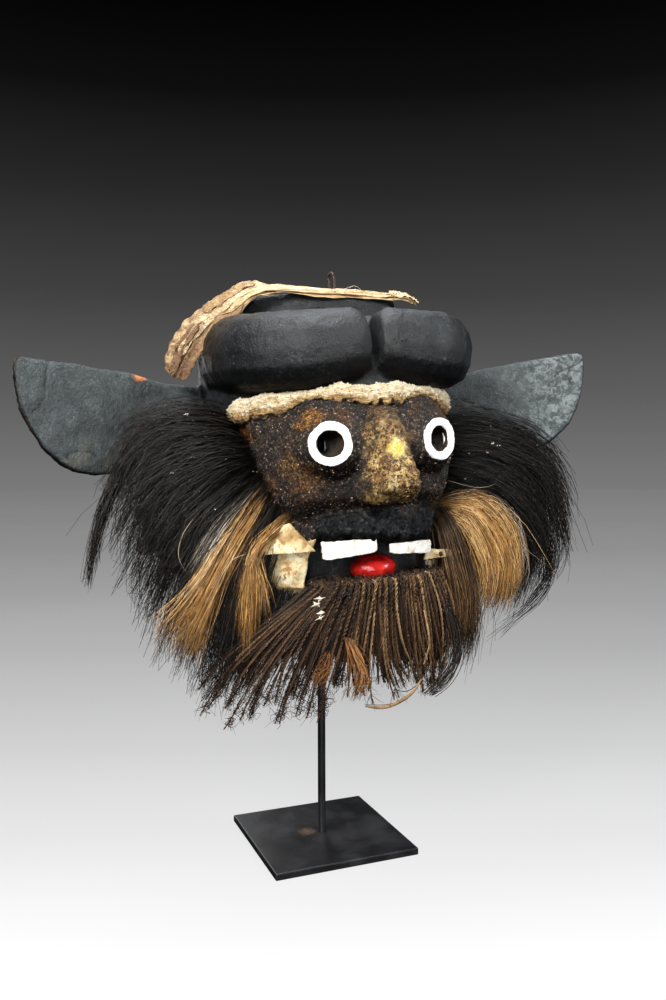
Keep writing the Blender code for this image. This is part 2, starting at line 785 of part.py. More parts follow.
def hide_sheet(name, corners, lift, parent, group, look, *rooms):
    """A stiff leaf of hide over four corners, each an angle, a height and a reach, bowed out by its lift."""
    steps = 4
    sheets = []
    for layer in (0.0, HIDE_THICKNESS):
        rows = []
        for i in range(steps + 1):
            row = []
            for j in range(steps + 1):
                u, v = i / steps, j / steps
                top = [a + (b - a) * v for a, b in zip(corners[0], corners[1])]
                low = [a + (b - a) * v for a, b in zip(corners[3], corners[2])]
                angle, height, out = (a + (b - a) * u for a, b in zip(top, low))
                angle = math.radians(angle)
                bow = lift * math.sin(math.pi * v) * math.sin(math.pi * (0.2 + 0.6 * u))
                row.append(skin(angle, height * CHIN_DROP, out + bow + layer))
            rows.append(row)
        sheets.append(rows)
    bm = bmesh.new()
    grid = [[[bm.verts.new(point) for point in row] for row in rows] for rows in sheets]
    for low, high in ((0, 1),):
        for i in range(steps):
            for j in range(steps):
                for layer in (low, high):
                    cell = grid[layer]
                    bm.faces.new((cell[i][j], cell[i + 1][j], cell[i + 1][j + 1], cell[i][j + 1]))
        border = [(0, j) for j in range(steps)] + [(i, steps) for i in range(steps)]
        border += [(steps, j) for j in range(steps, 0, -1)] + [(i, 0) for i in range(steps, 0, -1)]
        for (a, b), (c, d) in zip(border, border[1:] + border[:1]):
            bm.faces.new((grid[low][a][b], grid[low][c][d], grid[high][c][d], grid[high][a][b]))
    sheet = add_object(name, mesh_of(bm, name), group)
    return finish(fit_round(sheet, *rooms), look, parent, group)


def tack(name, angle, height, out, look, parent, group, *rooms):
    """A domed stud whose flat side lies on the hide."""
    point = skin(angle, height * CHIN_DROP, out)
    normal = (skin(angle, height * CHIN_DROP, out + 0.01) - point).normalized()
    bm = bmesh.new()
    bmesh.ops.create_uvsphere(bm, u_segments=10, v_segments=6, radius=TACK_RADIUS)
    bmesh.ops.scale(bm, vec=(1.0, 1.0, TACK_RISE / TACK_RADIUS), verts=bm.verts)
    bmesh.ops.transform(bm, matrix=turned_along(normal), verts=bm.verts)
    bmesh.ops.translate(bm, vec=point, verts=bm.verts)
    stud = add_object(name, mesh_of(bm, name), group)
    return finish(fit_round(stud, *rooms), look, parent, group)


def crown_strip(look, parent, group, *rooms):
    """A dried leaf folded over the crown's front edge, which bulges past the brow on the right side."""
    top = CROWN_RISE + STRIP_THICKNESS / 2 - 0.001
    side = CROWN_HALF_WIDTH - 0.003
    front = -CROWN_FRONT
    route = (
        (Vector((-side - 0.070, front + 0.032, top - 0.073)), (-0.5, -1.0, 0.2), 0.75),
        (Vector((-side - 0.062, front + 0.026, top - 0.051)), (-0.5, -1.0, 0.3), 1.00),
        (Vector((-side - 0.046, front + 0.018, top - 0.028)), (-0.4, -1.0, 0.5), 1.05),
        (Vector((-side - 0.022, front + 0.010, top - 0.012)), (-0.3, -1.0, 0.8), 0.95),
        (Vector((-side + 0.008, front + 0.006, top + 0.001)), (-0.1, -0.8, 1.0), 0.80),
        (Vector((-side * 0.55, front + 0.004, top + 0.004)), (0.0, -0.6, 1.0), 0.72),
        (Vector((0.0, front + 0.004, top + 0.003)), (0.0, -0.6, 1.0), 0.66),
        (Vector((side * 0.6, front + 0.008, top + 0.002)), (0.0, -0.6, 1.0), 0.62),
        (Vector((side * 0.98, front + 0.014, top + 0.001)), (0.2, -0.6, 1.0), 0.55),
        (Vector((side + 0.014, front + 0.020, top - 0.009)), (0.6, -0.6, 0.8), 0.40),
    )
    rings = []
    for i, (point, normal, width) in enumerate(route):
        ahead = route[min(i + 1, len(route) - 1)][0] - route[max(i - 1, 0)][0]
        normal = Vector(normal).normalized()
        across = ahead.cross(normal).normalized()
        normal = across.cross(ahead).normalized()
        half = STRIP_WIDTH * width / 2
        ring = []
        for u, n in ((-1.0, -0.2), (-0.5, 0.35), (0.0, 0.7), (0.5, 0.35), (1.0, -0.2)):
            ring.append(point + across * half * u + normal * STRIP_THICKNESS * n)
        for u, n in ((0.85, -0.6), (0.0, -0.35), (-0.85, -0.6)):
            ring.append(point + across * half * u + normal * STRIP_THICKNESS * n)
        rings.append(ring)
    strip = add_object("crown_strip", mesh_of(loft(rings), "crown_strip"), group)
    return finish(fit_round(strip, *rooms), look, parent, group)


def lock(root, end, lift, radius, steps=7):
    """A tapered lock of fur that leaves its root, rises by the lift and falls to its end."""
    middle = (root + end) / 2 + lift
    route = []
    for i in range(steps + 1):
        part = i / steps
        point = root * (1 - part) ** 2 + middle * 2 * part * (1 - part) + end * part**2
        girth = 0.75 + 0.55 * math.sin(math.pi * min(part * 1.15, 1.0)) - 0.45 * part
        route.append((point, radius * girth))
    return route


def on_head(shares):
    """A place or reach beside the head from its shares of the head's half width, depth and chin drop."""
    return Vector((shares.x * HEAD_HALF_WIDTH, shares.y * HEAD_DEPTH, shares.z * CHIN_DROP))


def fan(rows, count, radius, spread, chance):
    """Locks spread evenly through rows of (root, end, lift), with a little seeded scatter."""
    routes = []
    for i in range(count):
        place = i / (count - 1) * (len(rows) - 1)
        low = min(int(place), len(rows) - 2)
        part = place - low
        root, end, lift = (on_head(Vector(a).lerp(Vector(b), part)) for a, b in zip(rows[low], rows[low + 1]))
        shift = Vector([chance.uniform(-1.0, 1.0) * amount * LOCK_STRAY for amount in spread])
        end = end + shift
        root = root + shift * 0.35
        routes.append(lock(root, end, lift, radius * chance.uniform(0.85, 1.2)))
    return routes


def fur(name, rows, count, radius, spread, triangles, look, parent, group, *rooms):
    """A mass of locks fused to one body and cut back from what it lies against."""
    routes = fan(rows, count, radius, spread, random.Random(name))
    mass = swept_splines(name, routes, group, sides=1)
    fuse(mass, FUR_GRID, triangles)
    return finish(fit_round(mass, *rooms), look, parent, group)


# Hide pieces: four corners of each as an angle, a share of the chin's drop, and how far it stands off
# the head.
HIDES = (
    (
        "hide_patch_right",
        ((-27, -0.519, 0.001), (-56, -0.582, 0.004), (-74, -0.797, 0.012), (-46, -0.848, 0.006)),
    ),
    (
        "hide_flap_right",
        ((-42, -0.418, 0.004), (-74, -0.557, 0.032), (-74, -0.589, 0.032), (-27, -0.582, 0.006)),
    ),
    (
        "hide_patch_left",
        ((38, -0.709, 0.001), (54, -0.709, 0.003), (57, -0.829, 0.006), (41, -0.835, 0.004)),
    ),
    (
        "hide_flap_left",
        ((28, -0.633, 0.001), (54, -0.671, 0.030), (54, -0.690, 0.030), (27, -0.696, 0.001)),
    ),
)

# Tacks: angle, share of the chin's drop, and how far off the head each one sits.
TACKS = (
    ("tack_flap_right", -37.0, -0.494, 0.0078),
    ("tack_patch_outer", -60.0, -0.766, 0.0130),
    ("tack_patch_inner", -51.0, -0.785, 0.0115),
    ("tack_flap_left", 34.0, -0.671, 0.0125),
)

# Fur: rows of a lock's root, its end, and how far its middle is lifted, as shares of the head's half width,
# its depth and the chin's drop.
BLACK_RIGHT = (
    ((-0.89, -0.14, 0.28), (-1.61, -0.45, 0.00), (-0.16, -0.09, 0.14)),
    ((-0.87, -0.25, 0.06), (-1.77, -0.55, -0.39), (-0.16, -0.12, 0.19)),
    ((-0.80, -0.32, -0.19), (-1.75, -0.59, -0.76), (-0.16, -0.12, 0.19)),
    ((-0.74, -0.38, -0.41), (-1.52, -0.61, -1.04), (-0.12, -0.09, 0.18)),
    ((-0.67, -0.45, -0.60), (-1.16, -0.62, -1.34), (-0.10, -0.07, 0.13)),
)
BLACK_LEFT = (
    ((0.89, -0.14, 0.28), (1.66, -0.22, 0.02), (0.08, -0.16, 0.14)),
    ((0.87, -0.25, 0.06), (2.04, -0.16, -0.30), (0.14, -0.16, 0.26)),
    ((0.80, -0.30, -0.19), (2.10, -0.14, -0.70), (0.18, -0.12, 0.30)),
    ((0.74, -0.34, -0.41), (1.88, -0.14, -1.05), (0.18, -0.09, 0.26)),
    ((0.67, -0.39, -0.60), (1.48, -0.17, -1.26), (0.12, -0.07, 0.16)),
)
TAN_RIGHT_UPPER = (
    ((-0.73, -0.55, -0.23), (-1.69, -0.75, -0.94), (-0.04, -0.21, 0.08)),
    ((-0.71, -0.57, -0.26), (-1.57, -0.76, -1.03), (-0.04, -0.21, 0.08)),
    ((-0.69, -0.59, -0.29), (-1.36, -0.78, -1.10), (-0.06, -0.20, 0.10)),
)
TAN_RIGHT_LOWER = (
    ((-0.62, -0.64, -0.36), (-1.12, -0.78, -0.86), (-0.16, -0.13, 0.06)),
    ((-0.60, -0.66, -0.38), (-1.10, -0.79, -1.12), (-0.20, -0.13, 0.04)),
    ((-0.58, -0.67, -0.41), (-0.90, -0.80, -0.98), (-0.14, -0.12, 0.06)),
)
TAN_LEFT = (
    ((0.76, -0.58, -0.36), (1.46, -0.50, -0.80), (0.16, -0.15, 0.24)),
    ((0.74, -0.62, -0.38), (1.36, -0.54, -1.08), (0.18, -0.15, 0.20)),
    ((0.72, -0.65, -0.40), (1.10, -0.62, -1.14), (0.14, -0.14, 0.12)),
    ((0.70, -0.68, -0.42), (0.82, -0.69, -1.24), (0.08, -0.11, 0.06)),
)

TUFTS = (
    ("tan_tuft_right_upper", TAN_RIGHT_UPPER, 5, (0.65, 0.25, 0.50)),
    ("tan_tuft_right_lower", TAN_RIGHT_LOWER, 6, (0.60, 0.25, 0.50)),
    ("tan_tuft_left", TAN_LEFT, 8, (0.50, 0.25, 0.65)),
)


# The beard parts right of its middle: place across it from the right to the left end, and at each place
# how far the cords sweep sideways and how far they fall, as shares of the beard's length.
BEARD_SWEEPS = (
    (-1.0, -0.82, 0.81),
    (-0.8, -0.61, 0.88),
    (-0.6, -0.36, 1.05),
    (-0.4, -0.08, 0.88),
    (0.0, 0.15, 0.80),
    (0.5, 0.14, 0.76),
    (1.0, 0.06, 0.46),
)


def beard_sweep(place):
    """How far the cords at a place across the beard sweep and fall, in metres."""
    for (start, sweep_a, fall_a), (end, sweep_b, fall_b) in zip(BEARD_SWEEPS, BEARD_SWEEPS[1:]):
        if place <= end:
            part = (place - start) / (end - start)
            sweep = sweep_a + (sweep_b - sweep_a) * part
            return sweep * BEARD_LENGTH, (fall_a + (fall_b - fall_a) * part) * BEARD_LENGTH


def beard(look, parent, group, *rooms):
    """Two layers of cords that hang from under the mouth and part right of the middle."""
    chance = random.Random("beard")
    routes = []
    for layer, (count, back, length) in enumerate(((15, 0.0, 1.0), (13, 0.010, 0.94))):
        for i in range(count):
            part = i / (count - 1) * 2 - 1
            angle_x = part * BEARD_HALF_WIDTH
            front = -BEARD_FRONT + back + BEARD_BEND * part**2
            root = Vector((angle_x, front, -BEARD_TOP))
            sweep, drop = beard_sweep(part)
            drop *= length * chance.uniform(0.90, 1.06)
            end_x = angle_x + sweep + chance.uniform(-0.006, 0.006)
            end = Vector((end_x, front + BEARD_BACKSET, -BEARD_TOP - drop))
            lift = Vector((-sweep * 0.25, -0.012, 0.004))
            routes.append(lock(root, end, lift, BEARD_CORD * chance.uniform(0.9, 1.1)))
    mass = swept_splines("beard", routes, group, sides=1)
    fuse(mass, FUR_GRID * 0.75, BEARD_TRIANGLES, smoothing=1)
    return finish(fit_round(mass, *rooms), look, parent, group)


def main():
    for obj in list(bpy.data.objects):
        bpy.data.objects.remove(obj)
    group = collection("guere_mask")
    cutters = collection("cutters", hidden=True)
    frame = bpy.data.objects.new("mask_frame", None)
    group.objects.link(frame)
    frame.location = (MASK_SHIFT, 0.0, EYE_HEIGHT)
    frame.rotation_euler = (0.0, -MASK_LEAN, 0.0)

    steel = material("black_steel", BLACK_STEEL)
    base_plate(steel, group, cutters)
    stand_rod(steel, group)
    mask = carve_mask(material("black_wood", BLACK_WOOD), frame, group, cutters)
    iron = material("dark_iron", DARK_IRON)
    hanging_loop(iron, frame, group)
    rooms = [clearance_copy(mask, cutters)]

    crown_strip(material("dry_leaf", DRY_LEAF), frame, group, *rooms)
    brow_band(material("pale_band", PALE_BAND), frame, group, *rooms)
    white = material("white_paint", WHITE_PAINT)
    tooth("tooth_right", -1, white, frame, group, *rooms)
    tooth("tooth_left", 1, white, frame, group, *rooms)
    tongue(material("red_paint", RED_PAINT), frame, group, *rooms)

    hide = material("pale_hide", PALE_HIDE)
    for name, corners in HIDES:
        piece = hide_sheet(name, corners, HIDE_BOW, frame, group, hide, *rooms)
        rooms.append(clearance_copy(piece, cutters))
    for name, angle, height, out in TACKS:
        piece = tack(name, math.radians(angle), height, out, iron, frame, group, *rooms)
        rooms.append(clearance_copy(piece, cutters))

    tan = material("tan_fur", TAN_FUR)
    for name, rows, count, spread in TUFTS:
        piece = fur(name, rows, count, TAN_LOCK, spread, TUFT_TRIANGLES, tan, frame, group, *rooms)
        rooms.append(clearance_copy(piece, cutters, FUR_GAP))
    black = material("black_fur", BLACK_FUR)
    for name, rows in (("black_hair_right", BLACK_RIGHT), ("black_hair_left", BLACK_LEFT)):
        piece = fur(name, rows, 24, BLACK_LOCK, (1.0, 1.6, 1.0), FUR_TRIANGLES, black, frame, group, *rooms)
        rooms.append(clearance_copy(piece, cutters, FUR_GAP))
    beard(material("brown_fibre", BROWN_FIBRE), frame, group, *rooms)


main()
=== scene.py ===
"""Looks of the carved mask on its stand: dense carving, painted rings, fur, a corded beard, their materials.

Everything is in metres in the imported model's frame. The mask's pieces are laid out in the mask's own frame,
which leans a little on the stand, and are carried into the model's frame at the end.
"""

import math

import bmesh
import bpy
import numpy as np
from mathutils import Matrix, Vector, noise
from mathutils.bvhtree import BVHTree


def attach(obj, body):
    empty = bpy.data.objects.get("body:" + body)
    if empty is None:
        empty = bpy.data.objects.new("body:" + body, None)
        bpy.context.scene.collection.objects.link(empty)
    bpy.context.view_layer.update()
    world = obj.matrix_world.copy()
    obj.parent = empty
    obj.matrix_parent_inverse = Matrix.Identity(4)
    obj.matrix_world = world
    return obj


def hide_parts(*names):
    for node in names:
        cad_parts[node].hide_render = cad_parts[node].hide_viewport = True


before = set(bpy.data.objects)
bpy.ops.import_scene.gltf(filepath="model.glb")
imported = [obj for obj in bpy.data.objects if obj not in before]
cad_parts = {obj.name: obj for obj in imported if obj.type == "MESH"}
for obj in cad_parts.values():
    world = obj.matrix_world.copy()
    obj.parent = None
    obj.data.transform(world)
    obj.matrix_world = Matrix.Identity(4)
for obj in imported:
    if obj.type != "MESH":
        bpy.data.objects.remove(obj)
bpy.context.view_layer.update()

# The mask's own frame: its origin is on the stand's axis, level with the eyes.
EYE_HEIGHT = 0.410
MASK_LEAN = math.radians(3.0)
MASK_SHIFT = -0.003
MASK = Matrix.Translation((MASK_SHIFT, 0.0, EYE_HEIGHT)) @ Matrix.Rotation(-MASK_LEAN, 4, "Y")
TO_MASK = MASK.inverted()

# Where the face's parts lie in that frame.
EYE_SPREAD = 0.051
EYE_FRONT = 0.163
EYE_TURN = math.radians(19.0)
RING_RADIUS = 0.0190
HOLE_RADIUS = 0.0105

# How finely the carving is meshed, how often its facets are eased, and what is kept of it.
CARVING_GRID = 0.0017
CARVING_EASING = 14
CARVING_TRIANGLES = 118000
BAND_TRIANGLES = 26000
TOOTH_TRIANGLES = 6000
SOFT_TRIANGLES = 9000
FACE_FLAKES = 2200


# Small helpers for meshes.


def smoothstep(low, high, value):
    """Rises softly from 0 to 1 between low and high, or falls where low is the greater."""
    part = min(max((value - low) / (high - low), 0.0), 1.0)
    return part * part * (3 - 2 * part)


def mm(*rows):
    """Points or paths typed in millimetres."""
    return np.array(rows) / 1000


def new_mesh(name, points, faces):
    mesh = bpy.data.meshes.new(name)
    mesh.from_pydata(points, [], faces)
    return mesh


def add_object(name, mesh):
    obj = bpy.data.objects.new(name, mesh)
    bpy.context.scene.collection.objects.link(obj)
    return obj


def evaluated(obj):
    """Applies the object's modifiers."""
    bpy.context.view_layer.update()
    graph = bpy.context.evaluated_depsgraph_get()
    mesh = bpy.data.meshes.new_from_object(obj.evaluated_get(graph))
    obj.modifiers.clear()
    old, obj.data = obj.data, mesh
    bpy.data.meshes.remove(old)
    return obj


def dense_copy(node, name, grid, smoothing):
    """A finely remeshed copy of a CAD node, with its facets eased."""
    obj = add_object(name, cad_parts[node].data.copy())
    obj.data.materials.clear()
    remesh = obj.modifiers.new("grid", "REMESH")
    remesh.mode = "VOXEL"
    remesh.voxel_size = grid
    if smoothing:
        ease = obj.modifiers.new("ease", "SMOOTH")
        ease.iterations = smoothing
        ease.factor = 0.5
    return evaluated(obj)


def thicken(obj, thickness):
    obj.modifiers.new("thickness", "SOLIDIFY").thickness = thickness
    return evaluated(obj)


def thin_out(obj, triangles):
    """Brings a mesh down to a number of triangles."""
    count = sum(len(face.vertices) - 2 for face in obj.data.polygons)
    if count > triangles:
        thin = obj.modifiers.new("thin", "DECIMATE")
        thin.ratio = triangles / count
        evaluated(obj)
    return obj


def coordinates(mesh):
    flat = np.empty(len(mesh.vertices) * 3)
    mesh.vertices.foreach_get("co", flat)
    return flat.reshape(-1, 3)


def set_coordinates(mesh, points):
    mesh.vertices.foreach_set("co", np.asarray(points, dtype=float).ravel())
    mesh.update()


def vertex_normals(mesh):
    flat = np.empty(len(mesh.vertices) * 3, dtype=np.float32)
    mesh.vertex_normals.foreach_get("vector", flat)
    return flat.reshape(-1, 3)


def paint(mesh, name, values):
    """Keeps four numbers for each vertex, which the material reads as a colour attribute."""
    layer = mesh.color_attributes.new(name, "FLOAT_COLOR", "POINT")
    layer.data.foreach_set("color", np.asarray(values, dtype=np.float32).ravel())


def finish_piece(obj, material, node=None, smooth=True):
    """Gives the piece its material, hangs it on the model and hides the CAD node it stands for."""
    obj.data.materials.clear()
    obj.data.materials.append(MATERIALS[material])
    if smooth:
        obj.data.shade_smooth()
    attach(obj, "root")
    if node:
        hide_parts(node)


# Materials are built from a few node helpers.


class Shader:
    """A Principled material whose sockets are filled one by one."""

    def __init__(self, name):
        self.material = bpy.data.materials.new(name)
        self.material.use_nodes = True
        self.nodes = self.material.node_tree.nodes
        self.links = self.material.node_tree.links
        self.surface = self.nodes["Principled BSDF"]
        self.place = self.nodes.new("ShaderNodeTexCoord").outputs["Object"]
        self.height = None

    def set(self, **values):
        for name, value in values.items():
            socket = self.surface.inputs[name.replace("_", " ")]
            if isinstance(value, bpy.types.NodeSocket):
                self.links.new(value, socket)
            else:
                socket.default_value = value

    def feed(self, socket, value):
        if isinstance(value, bpy.types.NodeSocket):
            self.links.new(value, socket)
        elif isinstance(value, (tuple, list)) and len(value) == 3 and socket.type == "RGBA":
            socket.default_value = (*value, 1.0)
        else:
            socket.default_value = value

    def stretched(self, scale, turn=(0.0, 0.0, 0.0)):
        node = self.nodes.new("ShaderNodeMapping")
        node.inputs["Scale"].default_value = scale
        node.inputs["Rotation"].default_value = turn
        self.links.new(self.place, node.inputs["Vector"])
        return node.outputs["Vector"]

    def noise(self, scale, detail=4.0, rough=0.55, distortion=0.0, vector=None):
        node = self.nodes.new("ShaderNodeTexNoise")
        self.links.new(vector or self.place, node.inputs["Vector"])
        node.inputs["Scale"].default_value = scale
        node.inputs["Detail"].default_value = detail
        node.inputs["Roughness"].default_value = rough
        node.inputs["Distortion"].default_value = distortion
        return node.outputs["Fac"]

    def cells(self, scale, feature="F1"):
        node = self.nodes.new("ShaderNodeTexVoronoi")
        node.feature = feature
        self.links.new(self.place, node.inputs["Vector"])
        node.inputs["Scale"].default_value = scale
        return node.outputs["Distance"]

    def band(self, value, low, high, out_low=0.0, out_high=1.0):
        """Spreads low..high of a value over out_low..out_high, and holds it at the ends."""
        node = self.nodes.new("ShaderNodeMapRange")
        node.interpolation_type = "SMOOTHSTEP"
        self.feed(node.inputs["Value"], value)
        node.inputs["From Min"].default_value = low
        node.inputs["From Max"].default_value = high
        node.inputs["To Min"].default_value = out_low
        node.inputs["To Max"].default_value = out_high
        return node.outputs["Result"]

    def band_line(self, value, low, high):
        """Spreads low..high of a value evenly over 0..1."""
        node = self.nodes.new("ShaderNodeMapRange")
        self.feed(node.inputs["Value"], value)
        node.inputs["From Min"].default_value = low
        node.inputs["From Max"].default_value = high
        return node.outputs["Result"]

    def axis(self, name):
        """One coordinate of the place."""
        node = self.nodes.new("ShaderNodeSeparateXYZ")
        self.links.new(self.place, node.inputs["Vector"])
        return node.outputs[name]

    def math(self, operation, a, b):
        node = self.nodes.new("ShaderNodeMath")
        node.operation = operation
        self.feed(node.inputs[0], a)
        self.feed(node.inputs[1], b)
        return node.outputs["Value"]

    def times(self, a, b):
        return self.math("MULTIPLY", a, b)

    def plus(self, a, b):
        return self.math("ADD", a, b)

    def mix(self, factor, a, b):
        node = self.nodes.new("ShaderNodeMix")
        node.data_type = "RGBA"
        self.feed(node.inputs[0], factor)
        self.feed(node.inputs[6], a)
        self.feed(node.inputs[7], b)
        return node.outputs[2]

    def ramp(self, factor, *stops):
        node = self.nodes.new("ShaderNodeValToRGB")
        self.feed(node.inputs["Fac"], factor)
        elements = node.color_ramp.elements
        elements.remove(elements[1])
        elements[0].position = stops[0][0]
        elements[0].color = (*stops[0][1], 1.0)
        for place, colour in stops[1:]:
            elements.new(place).color = (*colour, 1.0)
        return node.outputs["Color"]

    def painted(self, name):
        """The channels of a painted attribute."""
        node = self.nodes.new("ShaderNodeAttribute")
        node.attribute_name = name
        split = self.nodes.new("ShaderNodeSeparateColor")
        self.links.new(node.outputs["Color"], split.inputs["Color"])
        return split.outputs["Red"], split.outputs["Green"], split.outputs["Blue"], node.outputs["Alpha"]

    def bump(self, height, depth):
        """Adds relief, whose depth is in metres, on top of the relief so far."""
        node = self.nodes.new("ShaderNodeBump")
        node.inputs["Strength"].default_value = 1.0
        node.inputs["Distance"].default_value = depth
        self.links.new(height, node.inputs["Height"])
        if self.height is not None:
            self.links.new(self.height, node.inputs["Normal"])
        self.height = node.outputs["Normal"]
        self.links.new(self.height, self.surface.inputs["Normal"])


# The carved block: its relief, and where each finish lies on it.

# Patches of rust and ochre on the face: centre in the mask's frame, radius, how rusty, how ochre.
PATCHES = (
    ((-0.062, -0.152, 0.022), 0.011, 0.9, 1.0),
    ((-0.072, -0.148, 0.019), 0.008, 0.8, 0.8),
    ((-0.036, -0.160, 0.024), 0.009, 0.35, 0.1),
    ((-0.098, -0.075, 0.012), 0.011, 0.8, 0.2),
    ((-0.104, -0.070, -0.004), 0.009, 0.8, 0.2),
    ((-0.078, -0.134, -0.019), 0.012, 0.35, 0.6),
    ((-0.064, -0.146, -0.026), 0.012, 0.4, 0.5),
    ((-0.072, -0.140, -0.038), 0.014, 0.45, 0.05),
    ((-0.090, -0.105, -0.035), 0.012, 0.5, 0.1),
    ((-0.030, -0.158, -0.055), 0.007, 0.2, 0.8),
    ((0.066, -0.135, -0.055), 0.009, 0.9, 0.3),
    ((0.030, -0.165, -0.046), 0.009, 0.3, 0.2),
    ((0.078, -0.128, 0.024), 0.012, 0.35, 0.1),
    ((0.058, -0.150, 0.024), 0.010, 0.25, 0.1),
    ((-0.006, -0.165, 0.030), 0.010, 0.25, 0.2),
)
YELLOW_SPOT = Vector((-0.001, -0.188, -0.005))

# Cracks on the ears, as lines of (x, z) in the mask's frame, and an old knot by the right ear's lower edge.
EAR_CRACKS = (
    ((-0.262, 0.086), (-0.265, 0.072), (-0.266, 0.058), (-0.271, 0.046), (-0.279, 0.038)),
    ((0.258, 0.080), (0.266, 0.077), (0.275, 0.071), (0.288, 0.078)),
    ((0.275, 0.071), (0.271, 0.062), (0.276, 0.052)),
    ((0.275, 0.071), (0.266, 0.068), (0.258, 0.062)),
)
KNOT = ((-0.240, 0.001), 0.0125, 0.0042)
EDGE_CHIP = Vector((-0.180, -0.025, 0.074))
EAR_SWING = math.radians(18.8)
# How far from the middle an ear leaves the head, and where it stands free of it.
EAR_ROOT = 0.118
EAR_FREE = 0.138

# Where the face's crust and the nose's paint end.
FACE_TOP = 0.043
FACE_BOTTOM = -0.086
FACE_SIDE = 0.100
NOSE_HALF_WIDTH = 0.027
NOSE_TOP = 0.028
NOSE_BOTTOM = -0.056
# How far the lip hangs lower towards its left end.
LIP_SAG = 0.0065


def bore_distance(p):
    """How far a point lies from the nearer eye's bore."""
    return math.hypot(abs(p.x) - EYE_SPREAD, p.z)


def finish_at(p):
    """Face crust, ochre nose, blue-black lip, and rust at a point of the mask."""
    ragged = 0.006 * noise.noise(p * 90) + 0.003 * noise.noise(p * 260)
    front = smoothstep(-0.070, -0.092, p.y + ragged)
    level = smoothstep(FACE_TOP + 0.006, FACE_TOP - 0.002, p.z + ragged) * smoothstep(
        FACE_BOTTOM - 0.006, FACE_BOTTOM + 0.004, p.z + ragged
    )
    face = front * level * smoothstep(FACE_SIDE + 0.012, FACE_SIDE, abs(p.x) + ragged)
    nose = 0.0
    if p.y < -0.150:
        part = (NOSE_TOP - p.z) / (NOSE_TOP - NOSE_BOTTOM)
        width = NOSE_HALF_WIDTH * (0.55 + 0.45 * min(max(part, 0.0), 1.0))
        nose = smoothstep(width + 0.006, width - 0.004, abs(p.x - 0.002) + 1.6 * ragged)
        nose *= smoothstep(-0.02, 0.22, part) * smoothstep(1.06, 0.98, part)
        nose *= smoothstep(-0.157, -0.166, p.y + ragged)
    lip = smoothstep(-0.0575, -0.0625, p.z + ragged) * smoothstep(-0.128, -0.136, p.y)
    lip *= smoothstep(0.064, 0.060, abs(p.x))
    rust, ochre = 0.0, 0.0
    for centre, radius, strength, yellow in PATCHES:
        away = (p - Vector(centre)).length / radius
        if away < 1.6:
            level = smoothstep(1.5, 0.3, away + 0.7 * noise.noise(p * 220))
            rust = max(rust, level * strength)
            ochre = max(ochre, level * yellow)
    return face, nose, lip, rust, ochre


def line_distance(x, z, line):
    """How far a point of the ear lies from a crack."""
    best = 1.0
    for (ax, az), (bx, bz) in zip(line, line[1:]):
        along = ((x - ax) * (bx - ax) + (z - az) * (bz - az)) / ((bx - ax) ** 2 + (bz - az) ** 2)
        along = min(max(along, 0.0), 1.0)
        best = min(best, math.hypot(x - ax - (bx - ax) * along, z - az - (bz - az) * along))
    return best


def ear_wear(p):
    """How deep a crack or the knot's outline cuts the ear at a point, from 0 to 1."""
    wobble = 0.0012 * noise.noise(p * 160)
    wear = 0.0
    for line in EAR_CRACKS:
        wear = max(wear, smoothstep(0.0014, 0.0003, line_distance(p.x + wobble, p.z - wobble, line)))
    (x, z), long_half, short_half = KNOT
    ring = math.hypot((p.x - x + wobble) / long_half, (p.z - z) / short_half)
    return max(wear, smoothstep(0.22, 0.04, abs(ring - 1)) * (1.0 if p.z > z - 0.001 else 0.4))


def relief_at(p, face, lip, clear, ear):
    """How far the surface stands out at a point, in metres. It's even where an eye's ring lies."""
    uneven = 0.0010 * noise.noise(p * 38) + 0.0006 * noise.noise(p * 85 + Vector((7, 0, 0)))
    near, second = noise.voronoi(p * 62)[0][:2]
    tool_marks = -0.0008 * smoothstep(0.0, 0.55, near) + 0.0004 * smoothstep(0.12, 0.0, second - near)
    grit = 0.00025 * noise.noise(p * 420)
    crust = 0.0
    if face > 0.01:
        crust = face * (
            0.0018 * noise.fractal(p * 130, 0.8, 2.1, 4)
            + 0.0011 * max(noise.noise(p * 300) - 0.1, 0.0)
            - 0.0016 * smoothstep(0.09, 0.0, abs(noise.noise(p * 95)))
        )
    if lip > 0.01:
        tar = 0.0036 * noise.noise(p * 110) + 0.0030 * noise.noise(p * 240) + 0.0010 * noise.noise(p * 500)
        crust += lip * tar
    if ear > 0.01:
        crust -= 0.0009 * ear_wear(p)
    quiet = smoothstep(-0.001, 0.003, clear)
    return (uneven + tool_marks * (1 - face) + grit + crust) * quiet


